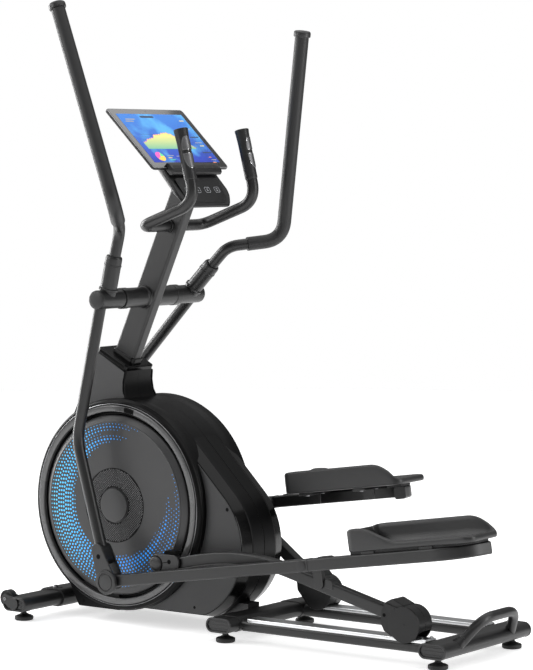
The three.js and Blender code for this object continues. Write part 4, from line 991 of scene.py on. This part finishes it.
def fixed_grip_pieces(side):
    top, elbow = at(BAR_TOP, BAR_Y), at(BAR_ELBOW, BAR_Y)
    heading = (top - elbow).normalized()
    length = (top - elbow).length
    grip = Part()
    profile = [
        (15.7, 61), (16.9, 63), (17, 70), (17, length - 60), (17.3, length - 34),
        (18.6, length - 8), (19.3, length - 1), (19.1, length + 1.2), (17.4, length + 2.2),
        (15, length + 1.4), (13, length - 0.4), (0, length - 0.8),
    ]
    grip.add(turned([(0, 61), *profile], elbow, heading, 48))
    show_on(side, "fixed_grip", grip, "fixed", [PLASTIC], extra=True)
    sensor = Part()
    facing = Vector((0.93, 0.28, 0.24))
    facing = (facing - heading * facing.dot(heading)).normalized()
    top_half, low_half = (length - 57, length - 17), (length - 108, length - 66)
    for (start, end), up in ((top_half, True), (low_half, False)):
        sensor.add(leaf(elbow, heading, facing, start, end, 1.02, 0.9, up), 1)
        inner = (start + 1.6, end - 2.6) if up else (start + 2.6, end - 1.6)
        sensor.add(leaf(elbow, heading, facing, *inner, 0.93, 1.7, up), 0)
    sensor.add(leaf(elbow, heading, facing, low_half[1] + 1, top_half[0] - 1, 0.8, 0.7, True), 2)
    show_on(side, "pulse_sensor", sensor, "fixed", [SENSOR, CHROME, PLASTIC],
            extra=True)


# ------------------------------------------------------------------ console and tablet
TILT = math.radians(TABLET_TILT_DEG)
DOWN = Vector((math.sin(TILT), 0, -math.cos(TILT)))
OUT = Vector((math.cos(TILT), 0, math.sin(TILT)))
ON_TABLET = Matrix.Translation((TABLET_FOOT[0], 0, TABLET_FOOT[1])) @ Matrix(
    ((DOWN.x, 0, OUT.x, 0), (0, 1, 0, 0), (DOWN.z, 0, OUT.z, 0), (0, 0, 0, 1)))


def tablet_pieces():
    shell = Part()
    for inset, corner, low, high, paint, rounding, steps in (
        (0, 10, -9, -1.4, 1, 2.4, 4), (0.7, 9.4, -2, -0.4, 0, 0.5, 2), (3, 7.4, -0.9, 0, 2, 0.3, 2),
    ):
        layer = rectangle(228 - 2 * inset, 328 - 2 * inset, corner, 6)
        shell.add(plate(shifted(layer, -114, 0), low, high), paint, rounding, steps)
    lens = turned([(0, -0.3), (1.9, -0.3), (1.9, 0.2), (1.4, 0.35), (0, 0.35)],
                  (-218, -4, 0), (0, 0, 1), 20)
    shell.add(lens, 0)
    show_whole("tablet", shell, [BEZEL, PLASTIC, GLASS], ON_TABLET)

    screen = Part()
    screen.add(plate(shifted(rectangle(186, 284, 1.5, 3), -114, 0), -0.2, 0.3), 0)
    ridge = [26, 25, 29, 28, 34, 38, 36, 40, 38, 43, 41, 44, 52, 55, 53, 56, 54, 57, 55, 58, 62, 59,
             63, 60, 64, 60, 57, 59, 52, 48, 50, 41, 36, 38, 30, 24, 20, 13, 8, 4]
    left, right, base = -121, 86, -72
    step = (right - left) / (len(ridge) - 1)
    chart = [(base, left)] + [(base - h, left + i * step) for i, h in enumerate(ridge)]
    chart.append((base, right))
    screen.add(plate(chart, 0.25, 0.5), 1)
    line = [Vector((base - h, left + i * step, 0.55)) for i, h in enumerate(ridge)]
    screen.add(sweep(line, rectangle(1.1, 0.5, 0.2, 2), (0, 0, 1)), 2)
    for start, end, paint in ((-60, 95, 3), (95, 150, 4), (150, 300, 2)):
        wedge = [(-43, -98)] + arc((-43, -98), 17, start, end, 16)
        screen.add(plate(wedge, 0.25, 0.55), paint)
    for down, across, long, paint in (
        (-196, -20, 58, 5), (-14, 6, 54, 5), (-14, 74, 40, 5), (-118, 118, 36, 5),
        (-58, 120, 40, 5), (-182, 120, 20, 3), (-178, -108, 34, 6), (-186, -100, 40, 6),
        (-150, 118, 24, 6), (-96, 116, 30, 6), (-84, 122, 18, 3), (-40, 116, 12, 2),
        (-30, 124, 22, 6), (-20, 118, 14, 2), (-46, -52, 26, 6), (-38, -60, 16, 3),
        (-30, -56, 22, 4), (-44, -14, 30, 6), (-36, -10, 18, 3), (-28, -16, 26, 6),
    ):
        size = 7 if long > 50 else 4 if long > 30 else 2.2
        pill = rectangle(size, long, size * 0.45, 3)
        screen.add(plate(shifted(pill, down, across), 0.25, 0.6), paint)
    for k in range(1, 7):
        grid = rectangle(0.5, 206, 0.2, 1)
        screen.add(plate(shifted(grid, base - 10 * k + 4, -10), 0.2, 0.36), 5)
    show_whole("tablet_screen", screen, [SKY, CHART, PINK, YELLOW, GREEN, PILL, MARK],
               ON_TABLET, extra=True)


def ledge_piece():
    """The shelf under the tablet: a rounded bar with a darker groove along it."""
    part = Part()
    profile = rounded([(0.6, -9, 1), (19, -9, 5), (24, -3, 6), (22, 6, 6), (12, 10, 5), (-8, 10, 5),
                       (-12, 6, 3), (-12, 0.6, 1), (0.6, 0.6, 1)], 5)
    part.add(skin([[(down, y, out) for down, out in profile] for y in (-106, 106)]), 0, 4, 4, 50)
    part.add(plate(shifted(rectangle(12, 196, 5.8, 6), 7, 0), 9.2, 10.4), 1, 0.4)
    for y in (-70, -35, 0, 35, 70):
        part.add(plate(shifted(rectangle(9, 3, 1.2, 3), 7, y), 10.2, 10.9), 0, 0.2)
    show_whole("tablet_ledge", part, [GREY_PLASTIC, RUBBER], ON_TABLET)


def console_piece():
    """The console behind and under the tablet, with its key plate and its pale seam line."""
    part = Part()
    outline = rounded([(-120, -96, 12), (-20, -104, 60), (78, -114, 44), (114, -90, 26),
                       (114, 90, 26), (78, 114, 44), (-20, 104, 60), (-120, 96, 12)], 8)

    def front_at(down):
        return interpolated([(-120, -9.3), (22, -9.3), (111, -29.3)], down)

    def loop(grow, depth):
        """A loop round the housing, grown by some millimetres, at a share of its depth."""
        ring = []
        for down, across in outline:
            front = front_at(down)
            back = interpolated([(-120, -33.3), (-21, -33.3), (83, -36.3), (106, -41.3)], down)
            ring.append(((down + 4) * (1 + grow / 112) - 4, across * (1 + grow / 100),
                         front + (back - front) * depth))
        return ring

    def on_plate(down, across, lift):
        return Vector((down, across, front_at(down) + lift))

    part.add(skin([loop(-4, 0.0), loop(-1.6, 0.03), loop(-0.3, 0.12), loop(0.4, 0.3),
                   loop(0.4, 0.55), loop(-2, 0.8), loop(-6, 0.95), loop(-11, 1.0)]))
    part.add(skin([loop(0.5, 0.36), loop(0.9, 0.4), loop(0.9, 0.46), loop(0.5, 0.5)]), 1)
    face = rounded([(28, -96, 10), (104, -86, 24), (104, 86, 24), (28, 96, 10)], 8)
    part.add(skin([[on_plate(d, a, lift) for d, a in face] for lift in (-1.5, 0.8)]), 0, 0.5)
    inner = rounded([(32, -90, 8), (100, -81, 20), (100, 81, 20), (32, 90, 8)], 8)
    edge = [on_plate(d, a, 0.95) for d, a in [*inner, inner[0]]]
    part.add(tube(edge, 0.35, 6, 20), 1)
    for across in (-63, -21, 21, 63):
        key = rectangle(16, 21, 4, 4)
        border = [on_plate(66 + d, across + a, 1.0) for d, a in [*key, key[0]]]
        part.add(tube(border, 0.42, 6, 20), 2)
        for lift in (-2.4, 2.4):
            mark = rectangle(1.3, 7, 0.6, 2)
            part.add(skin([[on_plate(66 + lift + d, across + a, k) for d, a in mark]
                           for k in (0.7, 1.15)]), 2)
    show_whole("console_housing", part, [PLASTIC, GREY_PLASTIC, MARK], ON_TABLET)


# ------------------------------------------------------------------ swing arms
def arm_point(rearward, along, y):
    lean = math.radians(SOCKET_LEAN_DEG)
    return Vector((PIVOT[0] + rearward * math.cos(lean) + along * math.sin(lean), y,
                   PIVOT[1] - rearward * math.sin(lean) + along * math.cos(lean)))


ARM_END = (23, 212)
SOCKET_Y = 177.5


def swing_arm_piece(side):
    part = Part()
    sleeve = [
        (12.5, 124), (24, 124), (25.5, 125.4), (25.5, 217), (24.8, 219), (23, 220.4),
        (18, 221), (0, 221.6),
    ]
    part.add(turned([*sleeve, (0, 214), (12.5, 214), (12.5, 124)], at(PIVOT)))
    cap = [(0, 219), (23.4, 219), (24.6, 220), (24.6, 221.4), (22, 223), (14, 224.2), (0, 224.8)]
    part.add(turned(cap, at(PIVOT)), 1)
    foot, top = arm_point(0, 0, SOCKET_Y), arm_point(0, 119, SOCKET_Y)
    socket = [
        (0, 0), (22.5, 0), (22.5, 92), (23.6, 93), (23.6, 96), (22.5, 97), (22.5, 112),
        (21.6, 116), (20.2, 118.6), (18, 119), (16.4, 118), (16.2, 100), (0, 100),
    ]
    part.add(turned(socket, foot, top - foot, 56))
    saddle_cut = turned([(23.4, -2), (25.6, -1), (25.8, 4), (23.4, 6), (23.4, -2)],
                        arm_point(0, 26, SOCKET_Y), top - foot, 48)
    part.add(saddle_cut)
    screw_head(part, arm_point(-22, 84, SOCKET_Y), arm_point(-1, 0, 0) - arm_point(0, 0, 0), 5, 3, 2)
    path = bend((18, 200, 868), [((-61, 206, 501), 150)], at(ARM_END, 206), 26)
    part.add(tube(path, TUBE_R, 32))
    block = stadium(ARM_END, 17, (34, 187), 15)
    part.add(slab(block, 184.5, 223), 0, 3, 3)
    for inner, outer in ((184.5, 188.5), (220, 223)):
        part.add(slab(stadium(ARM_END, 17, ARM_FOOT, 25), inner, outer), 0, 0.9)
    part.add(disc_between(8, at(ARM_FOOT, 186), at(ARM_FOOT, 221)), 2)
    nut = [(0, 184.5), (9, 184.5), (10, 183.6), (10, 179.6), (9, 178.8), (0, 178.8)]
    part.add(turned(nut, at(ARM_FOOT), sides=48, hexagon=(1, 2, 3, 4)), 2)
    show_on(side, "swing_arm", part, "arm", [BLACK_COAT, PLASTIC, STEEL])


def arm_handle_piece(side):
    start, elbow = arm_point(0, 59.3, SOCKET_Y), arm_point(2, 192, 176)
    turn, top = arm_point(60, 276, 294), arm_point(-276, 739, 259)
    part = Part()
    part.add(tube(bend(start, [(elbow, 55), (turn, 62)], top, 16), TUBE_R, 32))
    show_on(side, "arm_handle", part, "arm", [BLACK_COAT])

    grip = Part()
    path = resampled(bend(elbow.lerp(turn, 0.35), [(turn, 62)], top, 16), 8)
    grip.add(sweep(path, circle(19, 36)), 0, 1.4, 3)
    heading = (path[-1] - path[-2]).normalized()
    cap = [
        (0, -13.6), (20.4, -13.6), (22.2, -12.8), (23, -11), (23, -3), (22.4, 0.6), (20, 3),
        (14, 3.9), (0, 4),
    ]
    grip.add(turned(cap, path[-1], heading, 56), 1)
    show_on(side, "foam_grip", grip, "arm", [FOAM, GREY_PLASTIC])


def bracket_cover_piece(side):
    part = Part()
    part.add(slab(stadium(ARM_END, 18, ARM_FOOT, 31), 223.3, 229), 0, 2, 3)
    cap = [(0, 224), (33, 224), (33, 230.4), (32, 232.2), (30, 233), (25, 233), (24.2, 232),
           (23.4, 230.6), (21.8, 230.6), (20.8, 232), (19.6, 232.7), (0, 232.7)]
    part.add(turned(cap, at(ARM_FOOT), sides=72))
    screw_hole(part, at(ARM_END, 229).lerp(at(ARM_FOOT, 229), 0.2), 6.6)
    show_on(side, "arm_bracket_cover", part, "arm", [GREY_PLASTIC, BLACK_AND_PAINTED_SHADE])


# ------------------------------------------------------------------ pedal bars and pedals
MID_AT = math.hypot(MID_PIVOT[0] - ARM_FOOT[0], MID_PIVOT[1] - ARM_FOOT[1])


def pedal_bar_piece(side):
    part = Part()
    path = bend((0, 204, 0), [((1098, 204, 0), 90)], (1122, 112, 0), 16)
    part.add(sweep(path, rectangle(32, 30, 5, 4), (0, 1, 0)))
    tail = path[-1]
    heading = (path[-1] - path[-2]).normalized()
    plug = sweep([tail - heading * 0.5, tail + heading * 3], rectangle(32.8, 30.8, 6, 4), (0, 1, 0))
    part.add(plug, 1, 1)
    hub = [(9, 189), (16, 189), (16, 219), (9, 219), (9, 189)]
    part.add(turned(hub, (0, 0, 0), sides=48))
    boss = [(0, 178.3), (13, 178.3), (14, 179.2), (14, 195), (0, 195)]
    part.add(turned(boss, (MID_AT, 0, 0), sides=40))
    # the pivot's cap and its collar on the outer face
    cap = [(0, 219), (14.2, 219), (14.2, 219.9), (13, 220.7), (0, 220.9)]
    part.add(turned(cap, (MID_AT - 8, 0, 0), sides=48), 2)
    collar_path = [Vector((MID_AT + 10, 204, 0)), Vector((MID_AT + 13, 204, 0))]
    part.add(sweep(collar_path, rectangle(34, 32, 6, 4), (0, 1, 0)), 2, 0.8)
    clip = rounded([(MID_AT + 40, 15.5, 0), (MID_AT + 46, 19, 2), (MID_AT + 74, 19, 2),
                    (MID_AT + 82, 15.5, 0)], 4)
    part.add(slab(clip, 193, 215), 2, 0.8)
    for along in (836, 1010):
        foot = rounded([(along - 20, 86, 3), (along + 20, 86, 3), (along + 20, 212, 3),
                        (along - 20, 212, 3)], 4)
        part.add(plate(foot, 15, 22.4), 0, 0.8)
        gusset = rounded([(along - 16, -12, 2), (along + 16, -12, 2), (along + 19, 16, 0),
                          (along - 19, 16, 0)], 3)
        part.add(slab(gusset, 130, 134), 0, 0.5)
        for y in (100, 170):
            screw_head(part, (along, y, 15), (0, 0, -1), 5, 3, 3)
    show_on(side, "pedal_bar", part, "bar", [BLACK_COAT, GREY_PLASTIC, PLASTIC, STEEL])


PEDAL_LONG, PEDAL_WIDE, PEDAL_BASE = 373, 140, 22.7
PEDAL_START = 772
OUTBOARD = ((0, 54), (12, 57.6), (28, 58.6), (50, 57.4), (68, 52.6), (88, 43), (110, 32),
            (130, 23.4), (148, 19.2), (170, 18), (344, 18), (373, 16))
INBOARD = ((0, 54), (12, 57.6), (40, 59), (292, 58.6), (308, 56), (324, 49), (338, 40),
           (350, 30), (360, 22.6), (367, 18), (373, 16))


def pedal_height(along, across):
    """How high the rim stands at a place round the pedal; across runs 0 inboard to 1 outboard."""
    inner = interpolated(INBOARD, along)
    outer = interpolated(OUTBOARD, along)
    return inner + (outer - inner) * smooth_step(0.3, 0.75, across)


def pedal_rim():
    """Points round the pedal about every 9 mm, each with its outward normal."""
    corners = [Vector(p) for p in rectangle(PEDAL_LONG, PEDAL_WIDE, 25, 10)]
    points = resampled([*corners, corners[0]], 9)[:-1]
    normals = []
    for i in range(len(points)):
        ahead = (points[(i + 1) % len(points)] - points[i - 1]).normalized()
        normals.append(Vector((ahead.y, -ahead.x)))
    return list(zip(points, normals))


# The pedal's skin, from its underside over the rim and down to the tread. Each loop has an
# inset, a lift, and the share of the rim's height above the tread that it stands at.
PEDAL_TREAD = 8
PEDAL_UNDER = ((6, 0), (2.5, 0.8), (0.9, 2.6), (0.3, 5))
PEDAL_TOP = ((0.4, -5), (1.6, -2.4), (3.8, -0.6), (6.4, 0), (8.8, -0.7), (10.8, -2.6))
PEDAL_INNER = ((12.4, 0.78, -1), (14.6, 0.42, 0), (17.4, 0.16, 0), (21, 0.03, 0), (25, 0, 0))


def pedal_piece(side):
    part = Part()
    rim = pedal_rim()

    def loop(inset, height_of):
        ring = []
        for point, normal in rim:
            across = (point.y + PEDAL_WIDE / 2) / PEDAL_WIDE
            roll = 1 + 0.7 * smooth_step(0.4, 0.9, across)
            spot = point - normal * inset * (roll if inset > 4 else 1)
            top = pedal_height(point.x + PEDAL_LONG / 2, across)
            ring.append((spot.x, spot.y, height_of(top)))
        return ring

    rings = [loop(inset, lambda top: lift) for inset, lift in PEDAL_UNDER]
    rings.append(loop(0, lambda top: 0.5 * top))
    rings += [loop(inset, lambda top: top + lift) for inset, lift in PEDAL_TOP]
    rings += [loop(inset, lambda top: PEDAL_TREAD + share * max(0, top - PEDAL_TREAD) + lift)
              for inset, share, lift in PEDAL_INNER]
    part.add(skin(rings), 0)
    mat = rounded([(-150, -40, 10), (154, -40, 10), (154, 24, 10), (-150, 24, 10)], 6)
    part.add(plate(mat, PEDAL_TREAD - 1, PEDAL_TREAD + 1.2), 1, 0.5)
    for k in range(19):
        x = -135 + 15 * k
        chevron = rounded([(x - 2.2, -36, 1), (x + 2.2, -36, 1), (x + 8.2, -8, 2), (x + 2.2, 20, 1),
                           (x - 2.2, 20, 1), (x + 3.8, -8, 2)], 3)
        part.add(plate(chevron, PEDAL_TREAD + 1, PEDAL_TREAD + 2.6), 1, 0.4)
    skirt = rounded([(-178, 42, 6), (112, 42, 4), (126, -38, 4), (172, -38, 8), (166, 16, 20),
                     (140, 50, 20), (100, 64, 20), (-178, 64, 6)], 5)
    part.add(plate(skirt, -6.4, 2), 1, 1)
    middle = (PEDAL_START + PEDAL_LONG / 2, 145, PEDAL_BASE)
    part.mesh.transform(Matrix.Translation(middle))
    show_on(side, "pedal", part, "bar", [GREY_PLASTIC, TREAD])


# ------------------------------------------------------------------ roller bars and rollers
def roller_bar_piece(side):
    part = Part()
    path = bend((197, 157, 177.1), [((458.6, 152, 234.4), 620)], (918, 141, 115), 26)
    part.add(sweep(path, rectangle(32, 30, 5, 4), (0, 1, 0)))
    part.add(hoop(22, 12, 132, 174, *PIN_EYE, 56), 0, 0.9)
    lug = stadium((700, 176), 14, MID_PIVOT, 13)
    part.add(slab(lug, 152, 166), 0, 1.2)
    boss = [(0, 160), (14, 160), (14, 176.6), (13, 177.6), (0, 177.6)]
    part.add(turned(boss, at(MID_PIVOT), sides=40), 0)
    tab = rounded([(714, 168, 4), (742, 162, 4), (738, 185, 8), (716, 192, 8)], 6)
    part.add(slab(tab, 136, 162), 0, 1.6, 2)
    part.add(disc_between(13, (902, 118, 119), (902, 162, 119), 40), 0, 1)
    for inner in (118, 158):
        part.add(slab(stadium((902, 119), 13, WHEEL, 12), inner, inner + 4), 0, 0.7)
    show_on(side, "roller_bar", part, "roller", [BLACK_COAT])


def bearing_cover_piece(side):
    part = Part()
    rear = (242, 192)
    part.add(slab(stadium(PIN_EYE, 24, rear, 20), 174.3, 180.4), 0, 2, 3)
    part.add(slab(stadium(PIN_EYE, 25.6, (228, 190), 23), 150, 175.4), 0, 2.4, 3)
    dome = [(0, 176), (20, 176), (20, 181.6), (19, 183.4), (16, 185), (10, 185.9), (0, 186.2)]
    part.add(turned(dome, at(PIN_EYE), sides=56), 0)
    # A near-black ring round the dome's foot: painted shade in place of a groove.
    groove = [(20, 179.6), (22.2, 179.6), (22.2, 180.7), (20, 180.7), (20, 179.6)]
    part.add(turned(groove, at(PIN_EYE), sides=56), 1)
    points, faces = slab(rectangle(26, 1.8, 0.8, 3), 180, 180.75)
    lean = Matrix.Translation((211, 0, 189)) @ turn_y(-12)
    part.add(([lean @ p for p in points], faces), 1)
    clip = rounded([(206, 212, 3), (214, 221, 5), (244, 221, 5), (250, 212, 3)], 5)
    part.add(slab(clip, 146, 176), 1, 1.4)
    screw_hole(part, (rear[0] - 12, 180.4, rear[1] + 1), 6)
    show_on(side, "crank_bearing_cover", part, "roller", [GREY_PLASTIC, BLACK_AND_PAINTED_SHADE])


def roller_cover_piece(side):
    """Two half shells over the roller: a flat disc on each side, a rim with a seam
    between them, and a nose plate that grips the bar."""
    part = Part()
    # walls of the drum, open underneath: an arc from low at the rear over the top to the nose
    outer = arc(WHEEL, 46, -18, 198, 48)
    inner = arc(WHEEL, 42, 198, -18, 48)
    for y0, y1 in ((112, 139.6), (140.4, 168)):
        part.add(slab(outer + inner, y0, y1), 0, 0.7)
    for y0, y1 in ((109, 113), (167, 171)):
        disc = [(0, y0), (44, y0), (45.4, y0 + 0.5), (46, y0 + 1.7), (46, y1 - 1.7),
                (45.4, y1 - 0.5), (44, y1), (0, y1)]
        part.add(turned(disc, at(WHEEL), sides=80), 0)
    x, z = WHEEL
    face = rounded([(x - 57, z + 51, 8), (x - 68, z + 30, 6), (x - 70, z - 2, 12),
                    (x - 60, z - 21, 8), (x - 36, z - 34, 8), (x - 4, z - 42, 2), (x - 4, z + 40, 2),
                    (x - 32, z + 43, 4)], 5)
    for y0, y1 in ((111.6, 114.2), (165.8, 168.4)):
        part.add(slab(face, y0, y1), 0, 1.2)
    hump = rounded([(x - 57, z + 40, 2), (x - 58, z + 51, 5), (x - 37, z + 62, 12),
                    (x - 2, z + 47, 10), (x - 2, z + 38, 2)], 6)
    part.add(slab(hump, 114, 166), 0, 4, 4)
    screw_hole(part, (x - 59, 168.4, z + 19), 4.6)
    screw_head(part, at(WHEEL, 171), (0, 1, 0), 3, 0.6, 0)
    show_on(side, "roller_cover", part, "roller", [COVER_SMALL, BLACK_AND_PAINTED_SHADE])


def roller_pieces(side):
    profile = [
        (7, 126), (12, 126), (12.6, 128), (24, 128.6), (25.4, 126.2), (31, 125.6), (33.2, 127.6),
        (33.2, 152.4), (31, 154.4), (25.4, 153.8), (24, 151.4), (12.6, 152), (12, 154), (7, 154),
        (7, 126),
    ]
    wheel = Part().add(turned(profile, at(WHEEL), sides=72))
    show_on(side, "roller_wheel", wheel, "roller", [URETHANE], "roller_wheel_{}")
    pin = [(0, 114), (5.2, 114), (6, 114.8), (6, 165.2), (5.2, 166), (0, 166)]
    axle = Part().add(turned(pin, at(WHEEL), sides=32))
    show_on(side, "roller_axle", axle, "roller", [STEEL], "roller_axle_{}")


for side in SIDES:
    for make in (
        transport_pieces, rail_pieces, cover_pieces, disc_pieces, fixed_grip_pieces,
        swing_arm_piece, arm_handle_piece, bracket_cover_piece, pedal_bar_piece, pedal_piece,
        roller_bar_piece, bearing_cover_piece, roller_cover_piece, roller_pieces,
    ):
        make(side)
tablet_pieces()
ledge_piece()
console_piece()

# ------------------------------------------------------------------ floor, light and camera
FLOOR_R, FLOOR_GLOW = 7.5, 0.6
WHITE = (1, 1, 1, 1)
ROOM_LIGHT = 0.2
floor_mesh = bpy.data.meshes.new("floor")
floor_mesh.from_pydata([(x, y, 0) for x, y in circle(FLOOR_R, 96)], [], [tuple(range(96))])
floor = bpy.data.objects.new("floor", floor_mesh)
bpy.context.scene.collection.objects.link(floor)
pale = finish("studio floor", (0.85, 0.85, 0.85), 0.7, mottle=0.003, grain=40, bump=0.01)
set_values(pale.node_tree.nodes["Principled BSDF"], Emission_Color=WHITE,
           Emission_Strength=FLOOR_GLOW)
floor_mesh.materials.append(pale)
floor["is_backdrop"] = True

# A white backdrop for the camera, and a dimmer room round the object, as in a studio.
world = bpy.data.worlds.new("studio")
world.use_nodes = True
room = world.node_tree
backdrop = set_values(room.nodes["Background"], Color=WHITE)
walls = add_node(room, "Background", Color=WHITE, Strength=ROOM_LIGHT)
ray = add_node(room, "LightPath")
choice = add_node(room, "MixShader", ray.outputs["Is Camera Ray"], "Fac")
room.links.new(walls.outputs["Background"], choice.inputs[1])
room.links.new(backdrop.outputs["Background"], choice.inputs[2])
room.links.new(choice.outputs["Shader"], room.nodes["World Output"].inputs["Surface"])
bpy.context.scene.world = world


def softbox(name, place, aim, size, radiance):
    """A rectangular lamp that the camera doesn't see. Its power comes from its brightness."""
    data = bpy.data.lights.new(name, "AREA")
    data.shape = "RECTANGLE"
    data.size, data.size_y = size
    data.energy = radiance * math.pi * size[0] * size[1]
    light = bpy.data.objects.new(name, data)
    light.location = place
    light.rotation_mode = "QUATERNION"
    light.rotation_quaternion = (Vector(aim) - Vector(place)).to_track_quat("-Z", "Y")
    light.visible_camera = False
    bpy.context.scene.collection.objects.link(light)


softbox("ceiling", (0, 0, 6), (0, 0, 0), (12, 12), 1.1)
softbox("front left", (-2.6, -3.2, 2.2), (0, 0, 0.7), (1.6, 2.0), 5)
softbox("left rim", (-3.6, -0.1, 1.5), (0, 0, 0.9), (0.9, 2.8), 12)
softbox("right side", (3.6, 0.9, 1.5), (0, 0, 0.9), (0.9, 2.6), 7)

CAMERA_AZIMUTH, CAMERA_HEIGHT = math.radians(35.3), math.radians(2.8)
CAMERA_AWAY = Vector((4.597, -5.736, 1.258))
scene = bpy.context.scene
scene.view_settings.view_transform = "Standard"
lens = bpy.data.cameras.new("camera")
lens.lens = 145.1
lens.sensor_width = 36
lens.shift_x = -0.0552
lens.shift_y = -0.0693
lens.clip_end = 100
camera = bpy.data.objects.new("camera", lens)
level = math.cos(CAMERA_HEIGHT)
back = Vector((math.sin(CAMERA_AZIMUTH) * level, -math.cos(CAMERA_AZIMUTH) * level,
               math.sin(CAMERA_HEIGHT)))
camera.location = ORIGIN + CAMERA_AWAY
camera.rotation_mode = "QUATERNION"
camera.rotation_quaternion = (-back).to_track_quat("-Z", "Y")
scene.collection.objects.link(camera)
scene.camera = camera

low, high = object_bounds()
